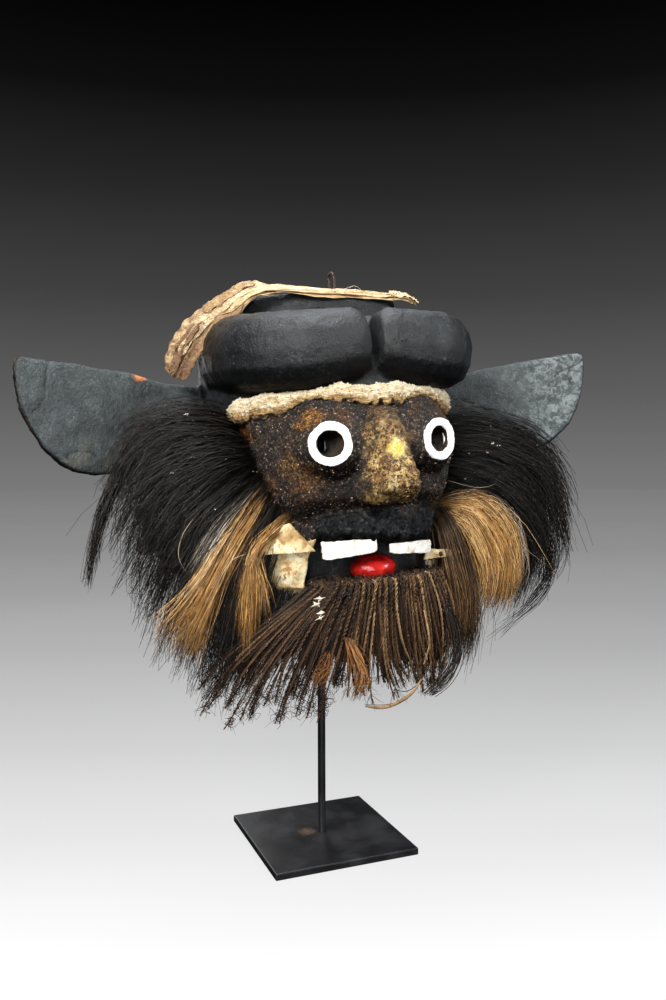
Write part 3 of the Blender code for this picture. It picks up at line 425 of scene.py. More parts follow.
def carve_detail():
    """The whole carving, finely meshed, with its relief and a painted map of its finishes, which also marks
    where shade is painted.
    """
    obj = dense_copy("carved_mask", "mask_carving", CARVING_GRID, CARVING_EASING)
    mesh = obj.data
    points = coordinates(mesh)
    normals = vertex_normals(mesh)
    regions = np.zeros((len(points), 4))
    spots = np.zeros((len(points), 4))
    marks = np.ones((len(points), 4))
    for i in range(len(points)):
        p = TO_MASK @ Vector(points[i])
        face, nose, lip, rust, ochre = finish_at(p)
        bore = bore_distance(p)
        # Where the eye bores' walls lie, which get painted shade.
        in_bore = smoothstep(HOLE_RADIUS + 0.0015, HOLE_RADIUS, bore) if p.y < -0.10 else 0.0
        inside = 1.0 if p.y > -0.140 and is_inside(p, normals[i]) else 0.0
        clear = bore - RING_RADIUS if p.y < -0.140 else 1.0
        ear = smoothstep(EAR_ROOT, EAR_FREE, abs(p.x)) * smoothstep(0.10, 0.06, abs(p.y))
        swing = EAR_SWING if p.x > 0 else -EAR_SWING
        flat = -(normals[i][0] * math.sin(swing) + normals[i][1] * math.cos(swing))
        blade = ear * smoothstep(0.55, 0.92, abs(flat))
        out = relief_at(p, face * (1 - lip), lip, clear, ear)
        points[i] += normals[i] * out
        points[i][2] -= LIP_SAG * lip * smoothstep(-0.030, 0.025, p.x) * smoothstep(-0.060, -0.068, p.z)
        regions[i] = (face, nose, lip, inside)
        spots[i] = (rust, ochre, in_bore, blade)
        wear = ear_wear(p) if ear > 0.5 else 0.0
        yellow = smoothstep(1.1, 0.5, (p - YELLOW_SPOT).length / 0.009 + 0.5 * noise.noise(p * 240))
        chip = smoothstep(1.2, 0.7, (p - EDGE_CHIP).length / 0.006 + 0.5 * noise.noise(p * 260))
        # Marks: ear cracks, pale chips, the ears' edges (partly painted shade) and faces that look downward
        # (painted shade).
        marks[i] = (wear, max(yellow, chip), ear * (1 - blade), smoothstep(-0.05, -0.70, normals[i][2]))
    set_coordinates(mesh, points)
    paint(mesh, "regions", regions)
    paint(mesh, "spots", spots)
    paint(mesh, "marks", marks)
    face_flakes(points, normals, regions)
    return thin_out(obj, CARVING_TRIANGLES)


def face_flakes(points, normals, regions):
    """Loose chips of dried crust that stick out of the face and the nose."""
    chance = np.random.default_rng(41)
    local = (points - np.array(MASK.translation)) @ np.array(MASK.to_3x3())
    clear = np.hypot(np.abs(local[:, 0]) - EYE_SPREAD, local[:, 2]) > RING_RADIUS + 0.0015
    wanted = np.nonzero((regions[:, 0] > 0.6) & (regions[:, 2] < 0.2) & (normals[:, 1] < 0.1) & clear)[0]
    places = chance.choice(wanted, FACE_FLAKES)
    verts, faces, tints = [], [], []
    for place in places:
        size = 0.0004 + 0.0008 * chance.random() ** 2.5
        normal = Vector(normals[place])
        axis = normal.orthogonal().normalized()
        axis.rotate(Matrix.Rotation(chance.uniform(0, 6.28), 3, normal))
        side = normal.cross(axis)
        tip = normal * size * chance.uniform(0.5, 1.3)
        start = len(verts)
        centre = Vector(points[place]) - normal * 0.0002
        for turn in (0.0, 1.3, 2.4, 3.6, 5.0):
            reach = size * chance.uniform(0.7, 1.3)
            verts.append(centre + axis * math.cos(turn) * reach + side * math.sin(turn) * reach * 0.7)
        verts.append(centre + tip + axis * size * 0.5)
        verts.append(centre - normal * size * 0.3)
        shade = chance.random()
        tints += [(shade, regions[place][1], 0.0, 1.0)] * 7
        for i in range(5):
            faces.append((start + i, start + (i + 1) % 5, start + 5))
            faces.append((start + (i + 1) % 5, start + i, start + 6))
    mesh = new_mesh("face_flakes", verts, faces)
    paint(mesh, "strand", tints)
    finish_piece(add_object("face_flakes", mesh), "flakes", "carved_mask", False)


def is_inside(p, normal):
    """True on the wall of the hollow, which faces the middle of the mask or its back."""
    if abs(p.x) > EAR_ROOT:
        return False
    to_middle = Vector((-p.x, -0.03 - p.y, 0.02 - p.z))
    return to_middle.dot(Vector(normal)) > 0


def wood_material():
    """Black wood with a dull blue sheen, crusted and rusty on the face, ochre on the nose, with painted shade
    on its undersides, in the eye bores, on one side of the nose and partly on the ears' edges.
    """
    s = Shader("carved_wood")
    face, nose, lip, inside = s.painted("regions")
    rust, ochre, in_bore, ear = s.painted("spots")
    wear, bright, rim, under = s.painted("marks")

    broad = s.noise(22, 3, 0.6)
    fine = s.noise(620, 5, 0.65)
    speck = s.band(s.noise(1000, 3, 0.7), 0.58, 0.70)
    colour = black_wood(s, broad, speck)
    colour = s.mix(ear, colour, ear_slate(s))
    # The ears' edges go brown in patches: partly their colour, partly painted shade on the unlit edges.
    colour = s.mix(s.times(rim, s.band(s.noise(60), 0.42, 0.62)), colour, (0.020, 0.012, 0.007))
    colour = s.mix(s.times(wear, 0.85), colour, (0.004, 0.004, 0.005))

    colour = s.mix(face, colour, face_crust(s))
    patchy = s.band(s.noise(240, 5, 0.7, 0.5), 0.38, 0.60)
    rusty = s.ramp(
        s.noise(340, 5, 0.78),
        (0.42, (0.008, 0.003, 0.002)),
        (0.52, (0.200, 0.050, 0.008)),
        (0.62, (0.66, 0.29, 0.05)),
    )
    colour = s.mix(s.times(rust, patchy), colour, rusty)
    yellow = s.band(s.noise(560, 5, 0.75), 0.53, 0.59)
    colour = s.mix(s.times(ochre, yellow), colour, (0.72, 0.36, 0.045))

    bare = s.band(s.noise(64, 4, 0.7), 0.62, 0.44)
    cover = s.times(nose, s.plus(s.times(bare, 0.35), 0.65))
    colour = s.mix(cover, colour, nose_ochre(s))
    lemon = s.mix(s.band(s.noise(420, 4, 0.7), 0.46, 0.60), (0.80, 0.55, 0.08), (0.95, 0.82, 0.42))
    chip = s.mix(nose, (0.62, 0.20, 0.05), lemon)
    colour = s.mix(bright, colour, chip)

    tar = s.ramp(
        s.noise(230, 5, 0.75),
        (0.44, (0.0015, 0.0018, 0.002)),
        (0.56, (0.008, 0.010, 0.012)),
        (0.68, (0.110, 0.130, 0.140)),
    )
    colour = s.mix(lip, colour, tar)
    # Painted shade: the eye bores' walls go near-black brown.
    bore_shade = s.ramp(s.noise(300, 3, 0.6), (0.35, (0.008, 0.004, 0.002)), (0.70, (0.060, 0.032, 0.012)))
    colour = s.mix(in_bore, colour, bore_shade)
    colour = s.mix(s.times(inside, 0.9), colour, raw_wood(s))
    # Painted shade: faces that look downward are darkened.
    colour = s.mix(s.times(under, 0.75), colour, (0.0022, 0.0020, 0.0020))

    shine = s.band(broad, 0.30, 0.75, 0.22, 0.38)
    rough = s.plus(shine, s.times(fine, 0.14))
    rough = s.plus(rough, s.times(face, 0.22))
    rough = s.plus(rough, s.times(ear, 0.20))
    rough = s.plus(rough, s.times(inside, 0.25))
    rough = s.math("SUBTRACT", rough, s.times(lip, 0.26))
    s.set(Base_Color=colour, Roughness=rough)
    # Painted shade also lowers the specular of faces that look downward.
    s.set(Specular_IOR_Level=s.band(under, 0.0, 1.0, 0.42, 0.05))
    s.bump(s.noise(170, 5, 0.6), 0.0012)
    s.bump(s.noise(360, 4, 0.7), 0.0011)
    s.bump(fine, 0.00075)
    s.bump(s.times(s.cells(230, "DISTANCE_TO_EDGE"), face), 0.0018)
    s.bump(s.times(s.noise(760, 4, 0.7), s.math("MAXIMUM", face, nose)), 0.0022)
    s.bump(s.times(s.noise(240, 4, 0.6), lip), 0.0060)
    return s.material


def black_wood(s, broad, speck):
    """Old black paint, a little blue, with tiny worn points."""
    black = s.ramp(
        broad,
        (0.30, (0.0030, 0.0032, 0.0036)),
        (0.55, (0.0080, 0.0092, 0.0105)),
        (0.78, (0.0240, 0.0280, 0.0310)),
    )
    worn = s.times(s.band(s.noise(330, 4, 0.75), 0.56, 0.64), s.band(s.noise(30, 3, 0.6), 0.46, 0.62))
    black = s.mix(s.times(worn, 0.55), black, (0.085, 0.098, 0.104))
    return s.mix(s.times(speck, 0.3), black, (0.110, 0.125, 0.130))


def ear_slate(s):
    """Dusty slate grey, mottled pale towards the left ear's tip."""
    grain = s.noise(520, 5, 0.7)
    soft = s.band(s.noise(46, 5, 0.65, 0.4), 0.36, 0.70)
    slate = s.mix(soft, (0.026, 0.032, 0.034), (0.068, 0.082, 0.083))
    slate = s.mix(s.band(grain, 0.42, 0.60), s.mix(0.55, slate, (0.018, 0.024, 0.026)), slate)
    slate = s.mix(s.times(s.band(grain, 0.58, 0.70), 0.35), slate, (0.20, 0.23, 0.225))
    glint = s.band(s.noise(1300, 2, 0.5), 0.66, 0.73)
    slate = s.mix(s.times(glint, 0.3), slate, (0.45, 0.48, 0.45))
    outward = s.band(s.plus(s.axis("X"), s.times(s.noise(34, 5, 0.7), 0.10)), 0.24, 0.31)
    pale = s.mix(s.band(s.noise(150, 5, 0.72, 0.5), 0.42, 0.60), (0.050, 0.060, 0.062), (0.24, 0.27, 0.27))
    slate = s.mix(s.times(outward, 0.7), slate, pale)
    low = s.band(s.axis("Z"), 0.395, 0.425, 0.55, 0.0)
    olive = s.times(low, s.band(s.noise(40), 0.45, 0.60))
    return s.mix(olive, slate, (0.085, 0.085, 0.062))


def face_crust(s):
    """Black-brown crust broken by cracks, with a sprinkle of pale and rusty flecks."""
    crust = s.ramp(
        s.noise(75, 6, 0.70, 0.8),
        (0.34, (0.0050, 0.0040, 0.0038)),
        (0.50, (0.0140, 0.0095, 0.0075)),
        (0.62, (0.0330, 0.0190, 0.0115)),
        (0.80, (0.0900, 0.0480, 0.0220)),
    )
    patches = s.band(s.noise(48, 4, 0.6), 0.44, 0.66)
    amber = s.band(s.noise(380, 5, 0.78), 0.55, 0.60)
    crust = s.mix(s.times(amber, s.times(patches, 0.75)), crust, (0.34, 0.17, 0.06))
    pale = s.band(s.noise(430, 5, 0.80), 0.570, 0.605)
    crust = s.mix(s.times(pale, 0.85), crust, (0.50, 0.40, 0.31))
    pit = s.band(s.noise(300, 5, 0.75), 0.47, 0.42)
    crust = s.mix(s.times(pit, 0.85), crust, (0.003, 0.0022, 0.002))
    red = s.times(s.band(s.noise(56, 4, 0.6, 0.4), 0.54, 0.70), s.band(s.noise(480, 4, 0.7), 0.48, 0.60))
    crust = s.mix(s.times(red, 0.7), crust, (0.150, 0.036, 0.010))
    crack = s.band(s.cells(150, "DISTANCE_TO_EDGE"), 0.10, 0.0)
    return s.mix(s.times(crack, 0.8), crust, (0.003, 0.0025, 0.0025))


def nose_ochre(s):
    """Ochre paint worn to dark pits, with painted shade on its side towards +X."""
    tan = s.ramp(
        s.noise(120, 6, 0.72, 0.4),
        (0.32, (0.060, 0.028, 0.010)),
        (0.44, (0.290, 0.140, 0.040)),
        (0.54, (0.620, 0.390, 0.130)),
        (0.68, (0.950, 0.780, 0.420)),
    )
    pits = s.band(s.noise(320, 5, 0.80), 0.505, 0.455)
    tan = s.mix(s.times(pits, 0.94), tan, (0.010, 0.006, 0.004))
    # Painted shade: the nose's side towards +X darkens to brown.
    shade = s.band(s.axis("X"), 0.006, 0.024, 0.0, 0.70)
    tan = s.mix(s.times(shade, s.band(s.noise(160, 4, 0.7), 0.36, 0.56)), tan, (0.060, 0.034, 0.026))
    dots = s.math("SUBTRACT", 1.0, s.band(s.cells(520), 0.16, 0.32))
    return s.mix(s.times(dots, 0.85), tan, (0.014, 0.007, 0.004))


def raw_wood(s):
    """The unpainted wall of the hollow."""
    return s.ramp(
        s.noise(40, 5, 0.6, 0.4, s.stretched((1.0, 1.0, 0.16))),
        (0.30, (0.010, 0.006, 0.004)),
        (0.55, (0.034, 0.021, 0.012)),
        (0.80, (0.085, 0.055, 0.032)),
    )


def flake_material():
    """Chips of crust: brown to cream, yellower on the nose."""
    s = Shader("crust_flakes")
    chance, on_nose, _, _ = s.painted("strand")
    colour = s.ramp(
        chance,
        (0.10, (0.010, 0.006, 0.004)),
        (0.45, (0.060, 0.032, 0.016)),
        (0.70, (0.230, 0.120, 0.045)),
        (0.92, (0.560, 0.450, 0.320)),
    )
    colour = s.mix(s.times(on_nose, 0.55), colour, (0.560, 0.360, 0.120))
    colour = s.mix(s.band(s.noise(900), 0.45, 0.62, 0.0, 0.5), colour, (0.030, 0.016, 0.010))
    s.set(Base_Color=colour, Roughness=s.band(chance, 0.0, 1.0, 0.55, 0.8))
    s.bump(s.noise(1500), 0.0002)
    return s.material


def chip_material():
    """Cream chips of dry paste and bark."""
    s = Shader("pale_chips")
    grain = s.noise(900, 4, 0.6)
    colour = s.ramp(grain, (0.32, (0.30, 0.20, 0.11)), (0.50, (0.66, 0.58, 0.44)), (0.70, (0.86, 0.82, 0.72)))
    s.set(Base_Color=colour, Roughness=s.band(grain, 0.3, 0.7, 0.5, 0.8))
    s.bump(grain, 0.0003)
    return s.material


# Fur and fibres are thin closed strands built in bulk.

STRAND_SIDES = 3


def bezier(root, middle, end, steps):
    """Points along quadratic curves: arrays of (strand, 3) in, (strand, step, 3) out."""
    t = np.linspace(0.0, 1.0, steps)[None, :, None]
    return root[:, None] * (1 - t) ** 2 + middle[:, None] * 2 * t * (1 - t) + end[:, None] * t**2


def unit(vectors):
    """Vectors at length one."""
    return vectors / np.maximum(np.linalg.norm(vectors, axis=-1, keepdims=True), 1e-9)


def strands_mesh(name, lines, radii, tints):
    """One mesh of closed strands, from lines (strand, step, 3), radii (strand, step), tints (strand, 2)."""
    count, steps, _ = lines.shape
    sides = STRAND_SIDES
    tangent = unit(np.gradient(lines, axis=1))
    guide = np.array([0.31, 0.22, 0.92])
    across = unit(np.cross(tangent, guide[None, None, :]))
    upward = np.cross(tangent, across)
    turns = np.linspace(0.0, 2 * math.pi, sides, endpoint=False)
    turns = turns[None, None, :, None]
    ring = across[:, :, None] * np.cos(turns) + upward[:, :, None] * np.sin(turns)
    points = lines[:, :, None] + ring * radii[:, :, None, None]
    index = np.arange(count * steps * sides).reshape(count, steps, sides)
    here, ahead = index[:, :-1], index[:, 1:]
    quads = np.stack((here, np.roll(here, -1, 2), np.roll(ahead, -1, 2), ahead), axis=-1).reshape(-1, 4)
    caps = np.concatenate((index[:, 0, ::-1], index[:, -1])).reshape(-1, sides)
    mesh = new_mesh(name, points.reshape(-1, 3), quads.tolist() + caps.tolist())
    along = np.broadcast_to(np.linspace(0.0, 1.0, steps)[None, :, None], (count, steps, sides))
    first = np.broadcast_to(tints[:, 0][:, None, None], (count, steps, sides))
    second = np.broadcast_to(tints[:, 1][:, None, None], (count, steps, sides))
    paint(mesh, "strand", np.stack((first, along, second, np.ones_like(along)), axis=-1))
    return mesh


def to_model(points):
    """Carries points from the mask's frame to the model's."""
    turn = np.array(MASK.to_3x3())
    return points @ turn.T + np.array(MASK.translation)


def tapered(count, steps, thick, chance, tip):
    """Radii along each strand, down to the share tip of its thickness."""
    t = np.linspace(0.0, 1.0, steps)[None, :]
    return thick * chance.uniform(0.75, 1.25, (count, 1)) * (1 - (1 - tip) * t**1.6)


def splines(knots, places):
    """Smooth curves through each strand's own knots (strand, knot, 3), read at places 0..1 (strand, step)."""
    last = knots.shape[1] - 1
    spot = np.clip(places, 0.0, 1.0) * last
    low = np.minimum(spot.astype(int), last - 1)
    t = (spot - low)[..., None]
    mine = np.arange(len(knots))[:, None]
    a, b = knots[mine, np.maximum(low - 1, 0)], knots[mine, low]
    c, d = knots[mine, low + 1], knots[mine, np.minimum(low + 2, last)]
    return 0.5 * (2 * b + (c - a) * t + (2 * a - 5 * b + 4 * c - d) * t**2 + (3 * b - a - 3 * c + d) * t**3)


def fur_lines(
    rows, clumps, per_clump, widths, scatter, steps, chance, curl=(0.003, 1.0), reach=(0.8, 1.0), stray=0.06
):
    """Strands in clumps that follow the paths in rows (path, knot, 3), with strays that leave their clump.

    Widths are a clump's half width at each knot, scatter is how far clumps drift, curl is the size of the
    strands' waves and how many of them each strand has, reach is how much of its path a strand covers, and
    stray is the share of strands that leave their clump.
    """
    knots = rows.shape[1]
    place = np.linspace(0, len(rows) - 1, clumps) + chance.uniform(-0.5, 0.5, clumps) * len(rows) / clumps
    place = np.clip(place, 0, len(rows) - 1)
    low = np.minimum(place.astype(int), len(rows) - 2)
    part = (place - low)[:, None, None]
    drift = np.linspace(0.3, 1.0, knots)[None, :, None] * np.array(scatter)
    loose = chance.uniform(-1, 1, (clumps, 1, 3)) + chance.normal(0, 0.18, (clumps, knots, 3))
    guide = rows[low] * (1 - part) + rows[low + 1] * part + loose * drift
    mine = np.repeat(np.arange(clumps), per_clump)
    count = len(mine)
    wide = np.array(widths)[None, :, None]
    leaves = np.where(chance.uniform(0, 1, count) < stray, 2.6, 1.0)
    away = leaves[:, None, None] ** np.linspace(0, 1, knots)[None, :, None]
    apart = chance.normal(0, 1, (count, 1, 3)) * away + chance.normal(0, 0.3, (count, knots, 3))
    own = guide[mine] + apart * wide
    start, stop = chance.uniform(0, 0.05, (count, 1)), chance.uniform(*reach, (count, 1))
    t = np.linspace(0.0, 1.0, steps)[None, :]
    lines = splines(own, start + (stop - start) * t)
    size, waves = curl
    t = t[..., None]
    turn = 2 * math.pi * waves * chance.uniform(0.6, 1.5, (count, 1, 3)) * t
    turn = turn + chance.uniform(0, 6.28, (count, 1, 3))
    lines = lines + size * chance.uniform(0.2, 1.0, (count, 1, 1)) * np.sin(turn) * t**0.8
    return lines, np.stack((chance.uniform(0, 1, count), chance.uniform(0, 1, clumps)[mine]), axis=1)


def fibre_material(name, stops, tip, tip_share, fleck, rough):
    """Hair or bast: a colour for each strand, shaded along it, with rarer pale flecks."""
    s = Shader(name)
    chance, along, clump, _ = s.painted("strand")
    pick = s.plus(s.times(chance, 0.55), s.times(clump, 0.45))
    colour = s.ramp(pick, *stops)
    colour = s.mix(s.times(s.band(along, 0.45, 1.0), tip_share), colour, tip)
    colour = s.mix(s.band(along, 0.22, 0.0, 0.0, 0.55), colour, tuple(0.35 * c for c in stops[0][1]))
    stain = s.band(s.noise(90, 4, 0.6), 0.42, 0.66)
    colour = s.mix(s.times(stain, 0.35), colour, tuple(0.6 * c for c in stops[0][1]))
    if fleck:
        spot = s.band(s.noise(700, 2, 0.5), 0.70, 0.76)
        colour = s.mix(s.times(spot, 0.8), colour, fleck)
    s.set(Base_Color=colour, Roughness=s.band(chance, 0.0, 1.0, rough - 0.12, rough + 0.12))
    s.set(Specular_IOR_Level=0.35)
    s.bump(s.noise(1500, 3, 0.6, 0.0, s.stretched((1.0, 1.0, 0.25))), 0.0002)
    return s.material


def core_material(name, dark, light, grain=(1.0, 1.0, 0.12)):
    """The mass under a fringe: dark, streaked along its fall."""
    s = Shader(name)
    streak = s.noise(620, 5, 0.65, 0.3, s.stretched(grain))
    broad = s.noise(60, 3, 0.6)
    both = s.plus(s.times(streak, 0.7), s.times(broad, 0.3))
    colour = s.ramp(both, (0.35, dark), (0.72, light))
    s.set(Base_Color=colour, Roughness=s.band(streak, 0.3, 0.7, 0.55, 0.85))
    s.bump(streak, 0.0022)
    s.bump(s.noise(900, 3, 0.6), 0.0003)
    return s.material


# Paths of the fur's clumps, in the mask's frame: each row is one path of five places from root to tip.

# The masses of black hair on both sides, from their top edge down.
BLACK_RIGHT = mm(
    ((-109, -45, 23), (-137, -55, 35), (-164, -58, 39), (-187, -60, 33), (-201, -60, 18)),
    ((-102, -55, 11), (-141, -70, 21), (-178, -74, 17), (-205, -74, 0), (-220, -70, -26)),
    ((-96, -62, -4), (-139, -85, -2), (-176, -90, -12), (-201, -86, -37), (-217, -80, -71)),
    ((-94, -68, -16), (-133, -94, -21), (-168, -100, -41), (-194, -96, -73), (-210, -86, -112)),
    ((-91, -76, -29), (-127, -102, -44), (-159, -108, -71), (-183, -104, -108), (-199, -94, -149)),
    ((-87, -84, -40), (-117, -106, -62), (-145, -112, -95), (-166, -108, -136), (-182, -98, -183)),
    ((-83, -88, -47), (-107, -108, -76), (-129, -112, -114), (-147, -108, -160), (-159, -98, -209)),
    ((-72, -90, -59), (-91, -106, -92), (-106, -108, -130), (-121, -104, -173), (-136, -98, -216)),
)
BLACK_LEFT = mm(
    ((108, -36, 16), (150, -46, 20), (212, -40, 8), (252, -34, -13), (274, -28, -43)),
    ((106, -48, 2), (152, -62, 4), (213, -56, -18), (251, -46, -56), (272, -34, -110)),
    ((104, -56, -14), (152, -72, -19), (208, -66, -50), (238, -54, -94), (246, -42, -146)),
    ((102, -62, -30), (146, -80, -41), (196, -74, -81), (220, -60, -120), (218, -48, -168)),
    ((100, -68, -45), (138, -82, -60), (181, -76, -106), (198, -64, -138), (190, -50, -178)),
    ((96, -72, -58), (128, -86, -82), (161, -80, -130), (171, -70, -150), (160, -56, -180)),
)
# Straighter glossy black locks between the tan tufts and behind the beard's right end.
BLACK_BETWEEN = mm(
    ((-82, -92, -44), (-105, -114, -70), (-125, -124, -104), (-139, -120, -145), (-149, -115, -183)),
    ((-78, -94, -49), (-101, -114, -73), (-121, -122, -106), (-133, -120, -142), (-142, -115, -180)),
    ((-74, -96, -54), (-98, -112, -78), (-115, -116, -110), (-124, -114, -150), (-134, -108, -192)),
    ((-70, -88, -80), (-92, -102, -116), (-104, -106, -150), (-115, -104, -180), (-130, -100, -212)),
    ((-70, -96, -100), (-86, -106, -130), (-99, -110, -154), (-111, -108, -180), (-127, -104, -211)),
    ((-58, -98, -112), (-76, -110, -139), (-91, -112, -160), (-105, -110, -184), (-120, -106, -213)),
)
# Brown locks between the left tan tuft and the beard, and black ones behind both.
BROWN_LEFT = mm(
    ((82, -108, -66), (89, -120, -86), (101, -122, -124), (106, -118, -165), (98, -110, -205)),
    ((77, -112, -69), (80, -124, -91), (88, -126, -126), (94, -122, -165), (89, -114, -201)),
    ((73, -114, -72), (73, -126, -96), (78, -128, -128), (84, -124, -164), (79, -118, -191)),
)
BLACK_BEHIND_LEFT = mm(
    ((64, -96, -58), (70, -98, -90), (76, -100, -125), (81, -98, -165), (78, -92, -200)),
    ((72, -94, -60), (78, -98, -90), (86, -100, -125), (92, -98, -165), (88, -92, -205)),
    ((96, -74, -76), (113, -88, -120), (120, -88, -161), (121, -84, -192), (114, -78, -225)),
    ((86, -76, -86), (99, -92, -125), (106, -92, -161), (107, -88, -192), (100, -82, -215)),
)
# Thin wisps that leave the black hair's outline on each side.
BLACK_WISP = mm(
    ((-150, -45, 30), (-198, -58, 4), (-224, -71, -34), (-237, -78, -66), (-249, -85, -108)),
    ((-150, -52, 20), (-196, -62, -4), (-220, -73, -38), (-235, -79, -70), (-247, -85, -112)),
)
LEFT_WISPS = mm(
    ((220, -30, -20), (262, -24, -40), (280, -20, -62), (287, -20, -85), (290, -20, -104)),
    ((240, -30, -60), (268, -22, -90), (279, -20, -125), (274, -20, -150), (262, -20, -170)),
    ((240, -40, -120), (258, -30, -160), (243, -26, -188), (210, -26, -208), (168, -30, -227)),
)
# The golden tufts, with silver hair at their edges.
TAN_RIGHT_UPPER = mm(
    ((-89, -90, -32), (-112, -112, -49), (-139, -126, -76), (-168, -128, -115), (-203, -122, -147)),
    ((-88, -94, -37), (-110, -116, -55), (-136, -128, -86), (-160, -130, -126), (-189, -120, -166)),
    ((-86, -96, -41), (-107, -118, -59), (-135, -130, -90), (-158, -130, -131), (-173, -120, -176)),
    ((-85, -98, -42), (-106, -118, -62), (-133, -130, -95), (-155, -130, -134), (-166, -122, -176)),
)
TAN_RIGHT_LOWER = mm(
    ((-73, -104, -58), (-96, -122, -72), (-115, -130, -92), (-126, -132, -119), (-131, -124, -158)),
    ((-69, -106, -60), (-93, -124, -72), (-115, -131, -89), (-124, -132, -119), (-127, -124, -174)),
    ((-68, -106, -62), (-90, -124, -74), (-112, -131, -90), (-116, -132, -118), (-122, -124, -172)),
    ((-67, -106, -64), (-89, -124, -76), (-110, -130, -91), (-107, -132, -116), (-104, -126, -141)),
)
TAN_LEFT = mm(
    ((86, -98, -60), (117, -110, -55), (155, -104, -80), (168, -100, -122), (161, -96, -162)),
    ((86, -100, -64), (112, -114, -63), (140, -112, -91), (153, -106, -130), (145, -100, -168)),
    ((84, -102, -67), (104, -118, -70), (127, -116, -100), (137, -110, -132), (128, -104, -166)),
    ((82, -104, -70), (96, -118, -78), (112, -118, -108), (120, -112, -136), (112, -106, -164)),
)
SILVER_LEFT = mm(
    ((140, -92, -62), (166, -92, -80), (177, -90, -110), (178, -86, -136), (166, -82, -164)),
    ((134, -96, -64), (158, -96, -86), (168, -94, -116), (170, -90, -140), (158, -84, -166)),
)
PALE_STREAK = mm(
    ((-90, -88, -29), (-112, -110, -44), (-134, -122, -64), (-152, -126, -86), (-164, -124, -104)),
    ((-91, -86, -27), (-113, -108, -41), (-136, -120, -60), (-155, -124, -82), (-168, -122, -100)),
)
# Single long pale hairs.
LONG_HAIRS = mm(
    ((-161, -120, -57), (-171, -125, -68), (-176, -126, -83), (-173, -125, -95), (-166, -123, -104)),
    ((-123, -140, -88), (-135, -144, -91), (-144, -145, -101), (-151, -144, -113), (-157, -142, -124)),
    ((87, -114, -56), (137, -112, -58), (158, -108, -82), (174, -104, -110), (204, -98, -132)),
    ((96, -96, -40), (112, -102, -46), (126, -102, -49), (138, -100, -49), (148, -98, -47)),
)
# Pale chips and flecks caught in the hair: place and size.
CHIPS = (
    ((-0.068, -0.161, -0.131), 0.0075), ((-0.067, -0.161, -0.141), 0.0070),
    ((-0.149, -0.071, 0.034), 0.0038), ((-0.146, -0.072, 0.028), 0.0026),
    ((-0.114, -0.066, 0.018), 0.0016), ((-0.172, -0.104, -0.018), 0.0022),
    ((-0.141, -0.120, -0.050), 0.0014), ((-0.144, -0.098, -0.014), 0.0012),
    ((0.166, -0.066, 0.011), 0.0016), ((0.156, -0.084, -0.006), 0.0030),
    ((0.163, -0.084, -0.009), 0.0030), ((0.146, -0.090, -0.015), 0.0024),
    ((0.211, -0.074, -0.031), 0.0016), ((0.128, -0.084, -0.015), 0.0018),
    ((0.226, -0.060, -0.011), 0.0012), ((-0.086, -0.082, -0.006), 0.0014),
    ((-0.096, -0.086, -0.020), 0.0022), ((0.118, -0.092, -0.040), 0.0018),
    ((0.098, -0.100, -0.052), 0.0020),
)


def drop_vertices(mesh, numbers):
    """Deletes vertices, and the faces that use them."""
    grid = bmesh.new()
    grid.from_mesh(mesh)
    grid.verts.ensure_lookup_table()
    bmesh.ops.delete(grid, geom=[grid.verts[i] for i in numbers], context="VERTS")
    grid.to_mesh(mesh)
    grid.free()


def main_body(mesh):
    """Drops the small loose bits of a mesh and keeps its largest body."""
    ends = np.empty(len(mesh.edges) * 2, dtype=np.int64)
    mesh.edges.foreach_get("vertices", ends)
    a, b = ends.reshape(-1, 2).T
    label = np.arange(len(mesh.vertices))
    while True:
        low = np.minimum(label[a], label[b])
        fresh = label.copy()
        np.minimum.at(fresh, a, low)
        np.minimum.at(fresh, b, low)
        fresh = fresh[fresh]
        if np.array_equal(fresh, label):
            break
        label = fresh
    drop_vertices(mesh, np.nonzero(label != np.bincount(label).argmax())[0])


def shrunk_core(node, name, inward, grid=0.0022, coarse=0.003):
    """The node's mass drawn in under its strands, with a lumpy surface."""
    obj = dense_copy(node, name, grid, 4)
    mesh = obj.data
    points, normals = coordinates(mesh), vertex_normals(mesh)
    skin = BVHTree.FromPolygons([tuple(p) for p in points], [tuple(face.vertices) for face in mesh.polygons])
    thin = []
    for i in range(len(points)):
        p = Vector(points[i])
        points[i] += normals[i] * (coarse * noise.noise(Vector((p.x * 110, p.y * 110, p.z * 35))) - inward)
        if skin.find_nearest(points[i])[3] < 0.55 * inward:
            thin.append(i)
    set_coordinates(mesh, points)
    drop_vertices(mesh, thin)
    main_body(mesh)
    return thin_out(obj, SOFT_TRIANGLES)


# A crumb before it's made ragged: two four-sided caps on one ring.
CRUMB = np.array(((1, 0, 0), (-1, 0, 0), (0, 1, 0), (0, -1, 0), (0, 0, 1), (0, 0, -1)))
CRUMB_SIDES = ((0, 2), (2, 1), (1, 3), (3, 0))
CRUMB_FACES = np.array([(a, b, 4) for a, b in CRUMB_SIDES] + [(b, a, 5) for a, b in CRUMB_SIDES])


def crumbs(name, centres, least, spread, chance, material, node):
    """Small angular crumbs round some places."""
    count = len(centres)
    size = least + spread * chance.uniform(0, 1, (count, 1, 1)) ** 2
    corners = centres[:, None] + CRUMB[None] * size * chance.uniform(0.5, 1.2, (count, 6, 3))
    corners = corners + chance.normal(0, 0.25, (count, 6, 3)) * size
    faces = (np.arange(count)[:, None, None] * 6 + CRUMB_FACES[None]).reshape(-1, 3)
    mesh = new_mesh(name, corners.reshape(-1, 3), faces.tolist())
    tint = np.repeat(chance.uniform(0, 1, count), 6)
    paint(mesh, "strand", np.stack((tint, tint * 0, tint * 0, tint * 0 + 1), axis=1))
    finish_piece(add_object(name, mesh), material, node, False)


